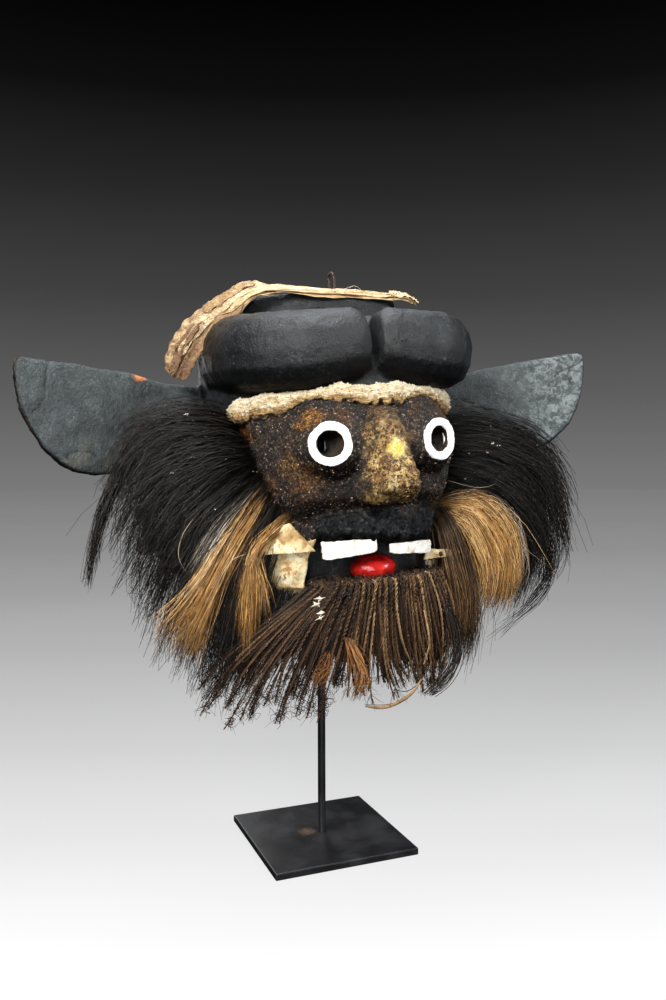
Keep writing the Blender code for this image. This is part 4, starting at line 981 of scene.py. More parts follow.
def strand_piece(name, lines, tints, thick, chance, material, node, tip=0.35):
    """A finished piece of strands, whose lines are in the mask's frame."""
    mesh = strands_mesh(name, to_model(lines), tapered(len(lines), lines.shape[1], thick, chance, tip), tints)
    finish_piece(add_object(name, mesh), material, node)


def locks(name, rows, clumps, per_clump, widths, scatter, steps, thick, chance, material, node, **way):
    """One piece of strands in clumps along some paths."""
    lines, tints = fur_lines(rows, clumps, per_clump, widths, scatter, steps, chance, **way)
    strand_piece(name, lines, tints, thick, chance, material, node)


def frizz(lines, count, share, size, length, out, chance, steps=10):
    """Short curls that start on the outer share of some strands and wind outward."""
    mine = chance.integers(0, len(lines), count)
    spot = (chance.uniform(share, 0.96, count) * (lines.shape[1] - 1)).astype(int)
    root = lines[mine, spot]
    ahead = unit(lines[mine, np.minimum(spot + 1, lines.shape[1] - 1)] - lines[mine, spot - 1])
    way = unit(ahead * 0.7 + chance.normal(0, 0.6, (count, 3)) + np.array(out))
    across = unit(np.cross(way, chance.normal(0, 1, (count, 3))))
    upward = np.cross(way, across)
    t = np.linspace(0.0, 1.0, steps)[None, :, None]
    turn = chance.uniform(0, 6.28, (count, 1, 1)) + 2 * math.pi * chance.uniform(0.6, 2.0, (count, 1, 1)) * t
    wide = size * chance.uniform(0.4, 1.0, (count, 1, 1)) * np.minimum(t * 3, 1.0)
    return root[:, None] + way[:, None] * length * chance.uniform(0.4, 1.0, (count, 1, 1)) * t + wide * (
        across[:, None] * np.cos(turn) + upward[:, None] * np.sin(turn)
    )


def black_hair(side, rows, out, seed):
    """One side's mass of black hair, curlier on the right, with short curls at its edge."""
    chance = np.random.default_rng(seed)
    node = "black_hair_" + side
    finish_piece(shrunk_core(node, node + "_core", 0.0095), "hair_core", node)
    curl = (0.0042, 3.2) if side == "right" else (0.0026, 1.6)
    widths, scatter = (0.0075, 0.0060, 0.0055, 0.0055, 0.0060), (0.010, 0.022, 0.010)
    clumps = 160 if side == "right" else 125
    lines, tints = fur_lines(rows, clumps, 10, widths, scatter, 9, chance, curl, (0.78, 1.0), 0.08)
    strand_piece(node + "_strands", lines, tints, 0.00042, chance, "black_hair", node)
    curls = frizz(lines, 1400 if side == "right" else 500, 0.55, 0.0034, 0.015, out, chance, 8)
    shade = chance.uniform(0, 1, (len(curls), 2))
    strand_piece(node + "_frizz", curls, shade, 0.00021, chance, "black_hair", node, 0.6)


def loose_hair():
    """Locks and single hairs that leave the masses, and the chips caught in them."""
    chance = np.random.default_rng(17)
    widths, scatter = (0.0035, 0.0045, 0.0050, 0.0055, 0.0060), (0.004, 0.006, 0.004)
    right, left, dark = "black_hair_right", "black_hair_left", "black_hair"
    locks("black_locks", BLACK_BETWEEN, 44, 18, widths, scatter, 8, 0.00034, chance, dark, right)
    widths, scatter = (0.0040, 0.0030, 0.0018, 0.0016, 0.0010), (0.003, 0.003, 0.003)
    lines, tints = fur_lines(BLACK_WISP, 7, 16, widths, scatter, 11, chance, (0.0014, 2.0))
    twigs = frizz(lines, 60, 0.5, 0.0004, 0.012, (-0.3, 0, -0.6), chance, 11)
    both = np.concatenate((lines, twigs))
    shade = np.concatenate((tints, chance.uniform(0, 0.4, (len(twigs), 2))))
    strand_piece("black_wisp", both, shade, 0.00040, chance, dark, right)
    widths, scatter = (0.0040, 0.0035, 0.0025, 0.0022, 0.0020), (0.008, 0.008, 0.010)
    way = {"curl": (0.0016, 1.2)}
    locks("black_left_wisps", LEFT_WISPS, 16, 7, widths, scatter, 12, 0.00036, chance, dark, left, **way)
    lines = splines(LONG_HAIRS, np.broadcast_to(np.linspace(0, 1, 18)[None], (len(LONG_HAIRS), 18)))
    strand_piece("long_hairs", lines, np.full((len(lines), 2), 0.5), 0.00030, chance, "pale_hair", right)
    hair_chips(chance)


def hair_chips(chance):
    """Ragged pale chips, each a flat crumpled star."""
    verts, faces, tints = [], [], []
    for place, size in CHIPS:
        for _ in range(2):
            centre = Vector(place) + Vector(chance.normal(0, 0.25, 3)) * size
            lean = chance.uniform(-0.7, 0.7)
            start, points = len(verts), 9
            for i in range(points):
                turn = 2 * math.pi * i / points + lean
                reach = size * chance.uniform(0.25, 1.0) * (1.0 if i % 2 else 0.45)
                x, z = math.cos(turn) * reach, math.sin(turn) * reach * 0.6
                verts.append(centre + Vector((x, chance.uniform(-0.2, 0.2) * size, z)))
            verts.append(centre + Vector((0, -0.25 * size, 0)))
            verts.append(centre + Vector((0, 0.15 * size, 0)))
            for i in range(points):
                faces.append((start + i, start + (i + 1) % points, start + points))
                faces.append((start + (i + 1) % points, start + i, start + points + 1))
            tints += [(chance.uniform(0.7, 1.0), 0.0, 0.0, 1.0)] * (points + 2)
    mesh = new_mesh("hair_chips", to_model(np.array(verts)), faces)
    paint(mesh, "strand", tints)
    finish_piece(add_object("hair_chips", mesh), "chips", "black_hair_right", False)


# Each tan tuft: its paths, seed, clumps, the clumps' half widths at each place of a path, and their drift.
TAN_TUFTS = {
    "tan_tuft_right_upper": (
        TAN_RIGHT_UPPER, 13, 26, (0.0012, 0.0015, 0.0018, 0.0024, 0.0036), (0.0026, 0.006, 0.0026),
    ),
    "tan_tuft_right_lower": (
        TAN_RIGHT_LOWER, 14, 24, (0.0014, 0.0017, 0.0017, 0.0022, 0.0030), (0.0028, 0.006, 0.0028),
    ),
    "tan_tuft_left": (
        TAN_LEFT, 15, 40, (0.0022, 0.0028, 0.0034, 0.0040, 0.0054), (0.004, 0.007, 0.004),
    ),
}
# The locks beside the tufts: paths, clumps, strands in each, half widths, drift, thickness, material, node.
SIDE_LOCKS = {
    "brown_left_locks": (
        BROWN_LEFT, 22, 16, (0.0022, 0.0030, 0.0036, 0.0040, 0.0044), (0.004, 0.006, 0.004),
        0.00034, "brown_hair", "tan_tuft_left",
    ),
    "black_left_locks": (
        BLACK_BEHIND_LEFT, 30, 16, (0.0040, 0.0050, 0.0056, 0.0056, 0.0060), (0.006, 0.010, 0.004),
        0.00034, "black_hair", "black_hair_left",
    ),
    "tan_tuft_streak": (
        PALE_STREAK, 8, 16, (0.0012, 0.0018, 0.0020, 0.0022, 0.0026), (0.002, 0.003, 0.002),
        0.00036, "silver_hair", "tan_tuft_right_upper",
    ),
    "tan_tuft_silver": (
        SILVER_LEFT, 11, 18, (0.0022, 0.0034, 0.0036, 0.0040, 0.0044), (0.003, 0.005, 0.004),
        0.00036, "silver_hair", "tan_tuft_left",
    ),
}


def tan_tufts():
    """The golden tufts, and the brown, black and silver locks beside them."""
    for node, (rows, seed, clumps, widths, scatter) in TAN_TUFTS.items():
        chance = np.random.default_rng(seed)
        way = {"curl": (0.0018, 1.3), "reach": (0.70, 1.0)}
        name = node + "_strands"
        locks(name, rows, clumps, 26, widths, scatter, 8, 0.00034, chance, "tan_hair", node, **way)
    chance = np.random.default_rng(16)
    for name, (rows, clumps, each, widths, scatter, thick, material, node) in SIDE_LOCKS.items():
        locks(name, rows, clumps, each, widths, scatter, 8, thick, chance, material, node)


# The beard: two-ply cords in layers over a dark core. Each leaves the mouth, turns over the edge and hangs.

BEARD_HALF_WIDTH = 0.064
BEARD_CENTRE = 0.003
BEARD_TOP = -0.1225
BEARD_FRONT = 0.150
BEARD_BEND = 0.020
BEARD_LENGTH = 0.118
BEARD_EDGE = 0.004
CORDS = 104
CORD_STEPS = 84
# Along the beard: place from the right end at -1 to the left end at 1, then how far a cord sweeps sideways,
# falls, and bulges sideways in the middle, as shares of its length.
BEARD_SWEEPS = np.array((
    (-1.0, -0.86, 0.92, -0.10),
    (-0.8, -0.60, 0.98, -0.07),
    (-0.6, -0.36, 1.06, -0.04),
    (-0.4, -0.12, 1.00, -0.02),
    (-0.2, 0.08, 0.94, -0.06),
    (0.0, 0.18, 0.92, -0.08),
    (0.5, 0.17, 0.94, -0.03),
    (0.8, 0.06, 0.93, 0.06),
    (1.0, -0.10, 0.86, 0.12),
))


def beard_guides(part, depth, drop, chance):
    """Six knots for each cord, from inside the mouth over the edge and down to its end."""
    count = len(part)
    places, *shares = BEARD_SWEEPS.T
    sweep, fall, bulge = (BEARD_LENGTH * np.interp(part, places, share) for share in shares)
    fall = fall * drop
    x = BEARD_CENTRE + part * BEARD_HALF_WIDTH
    front = -BEARD_FRONT + depth + BEARD_BEND * part**2
    top = np.full(count, BEARD_TOP) + chance.normal(0, 0.0006, count)
    inner = np.stack((x, front + 0.009, top - 0.002), axis=1)
    crest = np.stack((x, front + BEARD_EDGE * 0.6, top + 0.0012), axis=1)
    over = np.stack((x + 0.02 * sweep, front - 0.0006, top - BEARD_EDGE), axis=1)
    end = np.stack((x + sweep, front + 0.020, top - fall), axis=1)
    level = np.zeros(count)
    upper = over * 0.68 + end * 0.32 + np.stack((bulge * 0.8, level - 0.0055, level), axis=1)
    lower = over * 0.32 + end * 0.68 + np.stack((bulge, level - 0.0050, level), axis=1)
    stray = chance.uniform(-1, 1, (count, 3)) * np.array([0.007, 0.004, 0.003])
    return np.stack((inner, crest, over, upper + 0.35 * stray, lower + 0.7 * stray, end + stray), axis=1)


def arc_lengths(lines):
    """How far along its line each step lies."""
    step = np.linalg.norm(np.diff(lines, axis=1), axis=2)
    return np.concatenate((np.zeros((len(lines), 1)), np.cumsum(step, axis=1)), axis=1)


def plies(lines, offset, pitch, phase):
    """The two plies of each cord, wound round its centre line."""
    tangent = unit(np.gradient(lines, axis=1))
    across = unit(np.cross(tangent, np.array([0.95, 0.30, 0.05])[None, None, :]))
    upward = np.cross(tangent, across)
    turn = 2 * math.pi * arc_lengths(lines) / pitch[:, None] + phase[:, None]
    both = []
    for half in (0.0, math.pi):
        wind = across * np.cos(turn + half)[..., None] + upward * np.sin(turn + half)[..., None]
        both.append(lines + wind * offset[..., None])
    return np.concatenate(both)


def cord_lines(count, steps, chance):
    """Centre lines of the cords in four layers."""
    part = np.clip(np.linspace(-1.0, 1.0, count) + chance.uniform(-0.9, 0.9, count) / count, -1.0, 1.0)
    layer = np.arange(count) % 4
    depth = np.array([-0.0012, 0.0012, 0.0040, 0.0075])[layer] + chance.uniform(-0.0008, 0.0008, count)
    drop = chance.uniform(0.74, 1.04, count) * np.array([0.92, 0.98, 1.0, 1.0])[layer]
    knots = beard_guides(part, depth, drop, chance)
    t = np.broadcast_to(np.linspace(0.0, 1.0, steps)[None], (count, steps))
    lines = splines(knots, 0.02 + 0.98 * t**1.15)
    t = t[..., None]
    wave = np.sin(chance.uniform(0, 6.28, (count, 1, 3)) + chance.uniform(5, 13, (count, 1, 3)) * t)
    slow = np.sin(chance.uniform(0, 6.28, (count, 1, 3)) + chance.uniform(3, 6, (count, 1, 3)) * t)
    loose = chance.uniform(0.4, 1.3, (count, 1, 1))
    sway = wave * np.array([0.0016, 0.0008, 0.0]) + slow * np.array([0.0034, 0.0012, 0.0])
    return lines + sway * loose * t


def beard_cords():
    """The twisted cords. Gives back their centre lines and tints."""
    chance = np.random.default_rng(21)
    count, steps = CORDS, CORD_STEPS
    lines = cord_lines(count, steps, chance)
    t = np.linspace(0.0, 1.0, steps)[None, :]
    thick = chance.uniform(0.00070, 0.00108, (count, 1)) * (1 - 0.50 * t**5)
    pitch, phase = chance.uniform(0.0066, 0.0096, count), chance.uniform(0, 6.28, count)
    ply_lines = plies(lines, thick * 0.92, pitch, phase)
    tints = np.stack((chance.uniform(0, 1, count), chance.uniform(0, 1, count)), axis=1)
    both = np.concatenate((tints, tints))
    both[count:, 0] = np.clip(both[count:, 0] + 0.22, 0, 1)
    mesh = strands_mesh("beard_cords", to_model(ply_lines), np.concatenate((thick, thick)), both)
    finish_piece(add_object("beard_cords", mesh), "bast_cord", "beard")
    return lines, tints


def beard_fray(lines, tints):
    """Loose fibres: frayed cord ends, fluff along the cords and tangles at the right."""
    chance = np.random.default_rng(22)
    count, steps = len(lines), 5
    per_end = 9
    mine = np.repeat(np.arange(count), per_end)
    root = lines[mine, -6] + chance.normal(0, 0.0008, (len(mine), 3))
    ahead = unit(lines[mine, -1] - lines[mine, -9])
    end = root + ahead * chance.uniform(0.003, 0.012, (len(mine), 1))
    end = end + chance.normal(0, 0.0042, (len(mine), 3))
    middle = (root + end) / 2 + chance.normal(0, 0.0016, (len(mine), 3))
    frayed = bezier(root, middle, end, steps)
    fluff = 700
    cord, spot = chance.integers(0, count, fluff), chance.integers(12, 80, fluff)
    root = lines[cord, spot]
    away = unit(chance.normal(0, 1, (fluff, 3)) + np.array([0.0, -0.5, 0.0]))
    along = unit(lines[cord, spot + 2] - root)
    end = root + away * chance.uniform(0.0012, 0.0036, (fluff, 1))
    end = end + along * chance.uniform(0.002, 0.008, (fluff, 1))
    fluffy = bezier(root, (root + end) / 2 + away * 0.0008, end, steps)
    every = np.concatenate((frayed, fluffy))
    shade = np.concatenate((tints[mine] * 0.7, np.clip(tints[cord] + 0.25, 0, 1)))
    strand_piece("beard_fray", every, shade, 0.00022, chance, "bast_cord", "beard", 0.4)
    rights = lines[: count * 3 // 10]
    knots = frizz(rights, 520, 0.86, 0.0036, 0.012, (0.1, 0, -0.5), chance, 9)
    dark = chance.uniform(0, 0.5, (len(knots), 2))
    strand_piece("beard_tangles", knots, dark, 0.00028, chance, "bast_cord", "beard", 0.7)
    under_layer(lines)


def under_layer(lines):
    """Dark loose bast behind the cords, which closes the gaps between them down to a ragged edge."""
    chance = np.random.default_rng(27)
    count, steps = 760, 9
    mine = chance.integers(0, len(lines), count)
    t = np.linspace(0.08, 1.0, steps)[None, :] * chance.uniform(0.86, 1.02, (count, 1))
    own = splines(lines[:, ::7][mine], np.clip(t, 0, 1))
    spread = chance.normal(0, 1, (count, 1, 3)) * np.array([0.0030, 0.0016, 0.0016])
    spread = spread + chance.normal(0, 0.0009, (count, steps, 3))
    own = own + spread + np.array([0.0, 0.0042, 0.0])
    shade = np.stack((chance.uniform(0, 0.75, count), chance.uniform(0, 0.6, count)), axis=1)
    strand_piece("beard_under_layer", own, shade, 0.00075, chance, "bast_cord", "beard", 0.5)


# Bunches of frayed orange bast, dark wiry fibres with a loose loop, and blades of leaf caught in the beard.

ORANGE_BUNCHES = mm(
    ((-42, -154, -166), (-38, -158, -180), (-33, -158, -195), (-33, -154, -210), (-38, -148, -226)),
    ((-37, -154, -168), (-33, -158, -182), (-28, -158, -196), (-27, -154, -208), (-29, -148, -220)),
)
ORANGE_LEFT = mm(
    ((-56, -156, -178), (-58, -158, -184), (-61, -158, -190), (-65, -156, -198), (-70, -152, -206)),
    ((-62, -156, -176), (-64, -158, -182), (-66, -158, -188), (-70, -156, -194), (-75, -152, -201)),
)
WIRES = mm(
    ((66, -136, -150), (76, -138, -176), (77, -138, -200), (64, -136, -220), (47, -132, -233)),
    ((60, -138, -150), (66, -142, -178), (64, -142, -204), (52, -138, -222), (40, -134, -232)),
)
LOOSE_LOOP = mm(
    (36, -136, -221), (20, -140, -226), (6, -142, -222), (10, -142, -232), (-4, -142, -234),
    (-22, -140, -231),
)
BLADES = (
    (
        "beard_blade_low",
        mm((-21, -140, -233), (-5, -143, -236), (12, -143, -233), (26, -141, -227), (37, -137, -218)),
        0.0030,
        0.0,
    ),
    (
        "beard_blade_high",
        mm((32, -158, -150), (34, -160, -166), (35, -160, -180), (33, -157, -192), (32, -153, -200)),
        0.0020,
        1.2,
    ),
)


def flat_blade(name, knots, width, turn):
    """A narrow curved blade of dry leaf caught in the beard."""
    steps = 30
    line = splines(knots[None], np.linspace(0, 1, steps)[None])[0]
    along = unit(np.gradient(line, axis=0))
    side = unit(np.cross(along, np.array([0.0, -1.0, 0.0])))
    lean = side * math.cos(turn * 0.4) + np.array([0.0, -1.0, 0.0]) * math.sin(turn * 0.4)
    wide = width * np.sin(np.linspace(0.12, 3.0, steps)) ** 0.6
    shares = np.linspace(-1, 1, 5)
    rows = [line + lean * (wide * u / 2)[:, None] + np.array([0.0, 0.0007 * u * u, 0.0]) for u in shares]
    points = np.stack(rows, axis=1).reshape(-1, 3)
    faces = [(a, a + 5, a + 6, a + 1) for i in range(steps - 1) for a in range(i * 5, i * 5 + 4)]
    mesh = new_mesh(name, to_model(points), faces)
    paint(mesh, "strand", np.tile((0.25, 0.5, 0.0, 1.0), (len(points), 1)))
    finish_piece(thicken(add_object(name, mesh), 0.0004), "leaf", "beard")


def beard():
    """The whole beard: core, cords, loose fibres, crumbs, orange bunches, wires and leaf blades."""
    finish_piece(shrunk_core("beard", "beard_core", 0.0038, 0.0016, 0.0012), "beard_core", "beard")
    lines, tints = beard_cords()
    beard_fray(lines, tints)
    edge_crust(lines)
    chance = np.random.default_rng(23)
    for name, rows, clumps in (("beard_orange", ORANGE_BUNCHES, 6), ("beard_orange_small", ORANGE_LEFT, 4)):
        widths, scatter = (0.0006, 0.0016, 0.0022, 0.0020, 0.0012), (0.003, 0.002, 0.003)
        way = {"curl": (0.0016, 2.4)}
        locks(name, rows, clumps, 12, widths, scatter, 12, 0.00040, chance, "orange_fibre", "beard", **way)
    widths, scatter = (0.0020, 0.0024, 0.0024, 0.0022, 0.0020), (0.005, 0.003, 0.003)
    wires, shade = fur_lines(WIRES, 9, 4, widths, scatter, 16, chance, (0.0012, 1.2), (0.9, 1.0))
    loop = splines(LOOSE_LOOP[None], np.linspace(0, 1, 16)[None])
    wires = np.concatenate((wires, loop))
    shade = np.concatenate((shade, np.full((1, 2), 0.3)))
    strand_piece("beard_wires", wires, shade, 0.00042, chance, "dark_wire", "beard", 0.6)
    for name, knots, width, turn in BLADES:
        flat_blade(name, knots, width, turn)


def edge_crust(lines):
    """Crumbs of earth and dried paste along the beard's edge."""
    chance = np.random.default_rng(25)
    count = 1100
    cord, spot = chance.integers(0, len(lines), count), chance.integers(1, 15, count)
    centre = lines[cord, spot] + chance.normal(0, 0.0007, (count, 3)) + np.array([0.0, -0.0009, 0.0])
    crumbs("beard_crust", to_model(centre), 0.0005, 0.0011, chance, "flakes", "beard")


# The small hard pieces: rings of chalk paint, the band, the leaf strip, teeth, tongue and hide.


def eye_ring(side, seed):
    """A thick ragged ring of paint on one eye."""
    around, across = 220, 16
    points, faces = [], []
    axis = Matrix.Rotation(EYE_TURN * side, 4, "Z")
    for i in range(around):
        turn = 2 * math.pi * i / around
        spin = Vector((math.cos(turn), math.sin(turn), seed))
        inner = HOLE_RADIUS + 0.0004 + 0.0005 * noise.noise(spin * 3.2)
        outer = RING_RADIUS + 0.0002 + 0.0011 * noise.noise(spin * 2.2 + Vector((5, 0, 0)))
        outer += 0.0005 * noise.noise(spin * 9)
        for j in range(across + 1):
            share = j / across
            radius = inner + (outer - inner) * share
            edge = min(share, 1 - share)
            top = 0.0029 * smoothstep(0.0, 0.13, edge) - 0.0040 * smoothstep(0.02, 0.0, edge)
            widened = 1.045 if share < 0.5 else 1.0
            place = Vector((radius * math.cos(turn) * widened, 0.0, radius * math.sin(turn)))
            rough = 0.00035 * noise.noise(place * 420)
            rough += 0.00045 * noise.noise(place * 120 + Vector((0, seed, 0)))
            place.y = -(top + rough)
            points.append(MASK @ (Vector((EYE_SPREAD * side, -EYE_FRONT, 0.0)) + axis @ place))
    for i in range(around):
        for j in range(across):
            a, b = i * (across + 1) + j, ((i + 1) % around) * (across + 1) + j
            faces.append((a, b, b + 1, a + 1))
    mesh = new_mesh("eye_ring", points, faces)
    obj = add_object("eye_ring_right" if side < 0 else "eye_ring_left", mesh)
    finish_piece(obj, "chalk")


def worn_copy(node, name, grid, smoothing, waves):
    """A dense copy whose surface follows several noises, each given as (scale, depth)."""
    obj = dense_copy(node, name, grid, smoothing)
    mesh = obj.data
    points, normals = coordinates(mesh), vertex_normals(mesh)
    for i in range(len(points)):
        p = Vector(points[i])
        out = sum(depth * noise.noise(p * scale) for scale, depth in waves)
        points[i] += normals[i] * out
    set_coordinates(mesh, points)
    return obj


def brow_band():
    """The pale band, ragged along its lower edge, with its level from bottom to top painted on."""
    obj = worn_copy("brow_band", "brow_band_worn", 0.00095, 2, ((120, 0.0004), (420, 0.0007), (900, 0.0003)))
    mesh = obj.data
    points = coordinates(mesh)
    local = np.array([TO_MASK @ Vector(p) for p in points])
    turn = np.degrees(np.arctan2(local[:, 0], -local[:, 1]))
    slot = np.clip(((turn + 90) / 3).astype(int), 0, 59)
    low, high = np.full(60, 9.0), np.full(60, -9.0)
    np.minimum.at(low, slot, local[:, 2])
    np.maximum.at(high, slot, local[:, 2])
    level = (local[:, 2] - low[slot]) / np.maximum(high[slot] - low[slot], 1e-4)
    for i in range(len(points)):
        p = Vector(points[i])
        bite = max(noise.noise(Vector((p.x * 170, p.y * 170, 3.0))) - 0.05, 0.0)
        points[i][2] += 0.012 * bite * max(0.40 - level[i], 0.0) / 0.40
        points[i][2] += 0.0022 * noise.noise(Vector((p.x * 90, p.y * 90, 8.0))) * max(level[i] - 0.5, 0.0) * 2
    set_coordinates(mesh, points)
    paint(mesh, "level", np.stack((level, level, level, np.ones_like(level)), axis=1))
    band_crumbs(mesh, level)
    finish_piece(thin_out(obj, BAND_TRIANGLES), "pale_band", "brow_band")


def band_crumbs(mesh, level):
    """Pale crumbs along the band's upper edge and over its face."""
    chance = np.random.default_rng(31)
    points, normals = coordinates(mesh), vertex_normals(mesh)
    edge = np.nonzero((normals[:, 1] < 0.4) & (level > 0.86))[0]
    face = np.nonzero((normals[:, 1] < 0.2) & (level > 0.25))[0]
    centres = np.concatenate((points[chance.choice(edge, 800)], points[chance.choice(face, 400)]))
    crumbs("brow_band_crumbs", centres, 0.0004, 0.0011, chance, "chips", "brow_band")


# The strip's route over the crown: place, direction out of the wood, and width as a share of the widest.
STRIP_ROUTE = (
    ((-0.151, -0.030, 0.070), (-0.5, -1.0, 0.2), 0.75),
    ((-0.142, -0.036, 0.092), (-0.5, -1.0, 0.3), 0.98),
    ((-0.126, -0.044, 0.114), (-0.4, -1.0, 0.5), 1.00),
    ((-0.103, -0.052, 0.131), (-0.3, -1.0, 0.8), 0.90),
    ((-0.077, -0.056, 0.146), (-0.1, -0.8, 1.0), 0.80),
    ((-0.047, -0.058, 0.147), (0.0, -0.6, 1.0), 0.72),
    ((0.000, -0.058, 0.145), (0.0, -0.6, 1.0), 0.66),
    ((0.051, -0.054, 0.144), (0.0, -0.6, 1.0), 0.62),
    ((0.083, -0.048, 0.144), (0.2, -0.6, 1.0), 0.55),
    ((0.099, -0.042, 0.138), (0.6, -0.6, 0.8), 0.40),
)
STRIP_WIDTH = 0.027
# A loose straw on the crown behind the strip.
STRAW = mm(
    (1, -30, 150), (12, -32, 152), (25, -34, 154), (36, -34, 157), (44, -34, 151),
)


def leaf_ribbon(name, seed, start, stop, shift, lift, width, tone, roll):
    """One crumpled blade of leaf laid along the strip's route."""
    steps, across = 110, 9
    table = np.array([(*p, *n, w) for p, n, w in STRIP_ROUTE])
    rows = splines(table[None], np.linspace(start, stop, steps)[None])[0]
    middle, normal, wide = rows[:, :3], unit(rows[:, 3:6]), rows[:, 6] * STRIP_WIDTH
    run = unit(np.gradient(middle, axis=0))
    side = unit(np.cross(normal, run))
    points = []
    for i in range(steps):
        share = i / (steps - 1)
        ends = smoothstep(0.0, 0.06, share) * smoothstep(1.0, 0.93, share)
        wander = 0.10 * noise.noise(Vector((share * 3.0, seed * 1.7, 2.0)))
        tilt = roll + 0.9 * noise.noise(Vector((share * 4.5, seed, 11.0)))
        for j in range(across + 1):
            u = 2 * j / across - 1
            edge = 1 + 0.30 * noise.noise(Vector((share * 16, 3 if u > 0 else -3, seed)))
            reach = u * wide[i] * width / 2 * edge * (0.25 + 0.75 * ends)
            fold = 0.0016 * noise.noise(Vector((u * 2.2, share * 7, seed)))
            fold += 0.0009 * noise.noise(Vector((u * 5, share * 24, seed + 4)))
            curl = 0.30 * width * wide[i] * (0.5 - u * u) * noise.noise(Vector((share * 3, 5.0, seed)))
            place = middle[i] + side[i] * (reach * math.cos(tilt) + (shift + wander) * wide[i])
            points.append(place + normal[i] * (lift + fold + curl + abs(reach) * 0.5 * abs(math.sin(tilt))))
    faces = [
        (a, a + across + 1, a + across + 2, a + 1)
        for i in range(steps - 1)
        for a in range(i * (across + 1), i * (across + 1) + across)
    ]
    mesh = new_mesh(name, to_model(np.array(points)), faces)
    share = np.repeat(np.linspace(start, stop, steps), across + 1)
    paint(mesh, "strand", np.stack((share * 0 + tone, share, share * 0, share * 0 + 1), axis=1))
    finish_piece(thicken(add_object(name, mesh), 0.0005), "leaf", "crown_strip")


# Blades of the strip: start and end along its route, shift across it, lift off it, width, tone and roll.
LEAF_BLADES = (
    (0.00, 0.54, -0.05, -0.0010, 1.10, 0.30, 0.0),
    (0.03, 0.50, 0.32, 0.0006, 0.50, 0.60, 0.2),
    (0.00, 0.38, -0.42, 0.0004, 0.45, 0.15, -0.3),
    (0.08, 0.62, 0.02, 0.0016, 0.36, 0.85, 0.2),
    (0.36, 1.00, -0.02, -0.0012, 0.95, 0.60, 0.0),
    (0.16, 0.80, 0.30, 0.0008, 0.34, 0.75, -0.2),
    (0.30, 0.98, -0.16, 0.0010, 0.40, 0.70, 0.2),
    (0.26, 0.46, 0.36, 0.0022, 0.50, 0.35, 0.7),
    (0.50, 0.96, 0.22, 0.0010, 0.34, 0.90, -0.3),
    (0.82, 1.00, 0.05, 0.0020, 0.90, 0.75, 0.3),
    (0.00, 0.22, 0.10, 0.0022, 0.35, 0.10, 0.6),
)


def crown_strip():
    """The strip of overlapping leaf blades, and the straw behind it."""
    for i, (start, stop, shift, lift, width, tone, roll) in enumerate(LEAF_BLADES):
        leaf_ribbon("leaf_blade_%02d" % (i + 1), 1.0 + i * 2.3, start, stop, shift, lift, width, tone, roll)
    t = np.linspace(0, 1, 12)[None]
    chance = np.random.default_rng(33)
    straw = splines(STRAW[None], t)
    strand_piece("crown_straw", straw, np.full((1, 2), 0.9), 0.00060, chance, "pale_hair", "crown_strip")


def lower_top(mesh, share, shift):
    """Makes a piece less tall from its bottom up, and shifts it."""
    points = coordinates(mesh)
    foot = points[:, 2].min()
    points[:, 2] = foot + (points[:, 2] - foot) * share + shift
    set_coordinates(mesh, points)


# How far the right hide pieces reach outward and down, as shares of their plain shape, and curl forward.
HIDE_SPREAD = {"hide_patch_": (1.42, 1.10, 0.017), "hide_flap_": (1.30, 1.0, 0.019)}
TOOTH_WAVES = ((110, 0.0008), (380, 0.0004), (900, 0.00015))
HIDE_WAVES = ((70, 0.0010), (260, 0.0005), (700, 0.0002))
TONGUE_WAVES = ((60, 0.0008), (240, 0.0003))


def spread_hide(mesh, outward, downward, forward):
    """Stretches a hide piece away from the mouth and curls its outer end forward."""
    points = coordinates(mesh)
    right, top = points[:, 0].max(), points[:, 2].max()
    share = (right - points[:, 0]) / np.ptp(points[:, 0])
    points[:, 0] = right + (points[:, 0] - right) * outward
    points[:, 2] = top + (points[:, 2] - top) * downward
    points[:, 1] -= forward * share
    set_coordinates(mesh, points)


def hard_pieces():
    """Teeth, hide and tongue."""
    for side in ("right", "left"):
        tooth = worn_copy("tooth_" + side, "tooth_%s_worn" % side, 0.0006, 4, TOOTH_WAVES)
        if side == "left":
            lower_top(tooth.data, 0.74, -0.0022)
        finish_piece(thin_out(tooth, TOOTH_TRIANGLES), "tooth", "tooth_" + side)
        for kind in ("hide_patch_", "hide_flap_"):
            hide = worn_copy(kind + side, "%s%s_worn" % (kind, side), 0.00055, 1, HIDE_WAVES)
            if side == "right":
                spread_hide(hide.data, *HIDE_SPREAD[kind])
            finish_piece(thin_out(hide, SOFT_TRIANGLES), "hide", kind + side)
    tongue = worn_copy("tongue", "tongue_smooth", 0.0008, 8, TONGUE_WAVES)
    finish_piece(thin_out(tongue, SOFT_TRIANGLES), "tongue", "tongue")


# Materials of those pieces.


def chalk_material():
    """White chalk paint of the eye rings, with stains and fine cracks."""
    s = Shader("chalk_paint")
    dirt = s.band(s.noise(260, 5, 0.7, 0.4), 0.66, 0.76)
    stain = s.band(s.noise(75, 4, 0.6), 0.54, 0.78)
    colour = s.mix(s.times(stain, 0.35), (0.92, 0.915, 0.89), (0.74, 0.69, 0.58))
    colour = s.mix(s.times(dirt, 0.6), colour, (0.30, 0.22, 0.14))
    crack = s.band(s.cells(420, "DISTANCE_TO_EDGE"), 0.05, 0.0)
    colour = s.mix(s.times(crack, s.band(s.noise(130), 0.60, 0.72, 0.0, 0.5)), colour, (0.20, 0.15, 0.11))
    s.set(Base_Color=colour, Roughness=s.band(dirt, 0.0, 1.0, 0.72, 0.9))
    s.bump(s.noise(420, 5, 0.65), 0.0007)
    s.bump(s.times(s.cells(420, "DISTANCE_TO_EDGE"), 0.6), 0.0004)
    return s.material


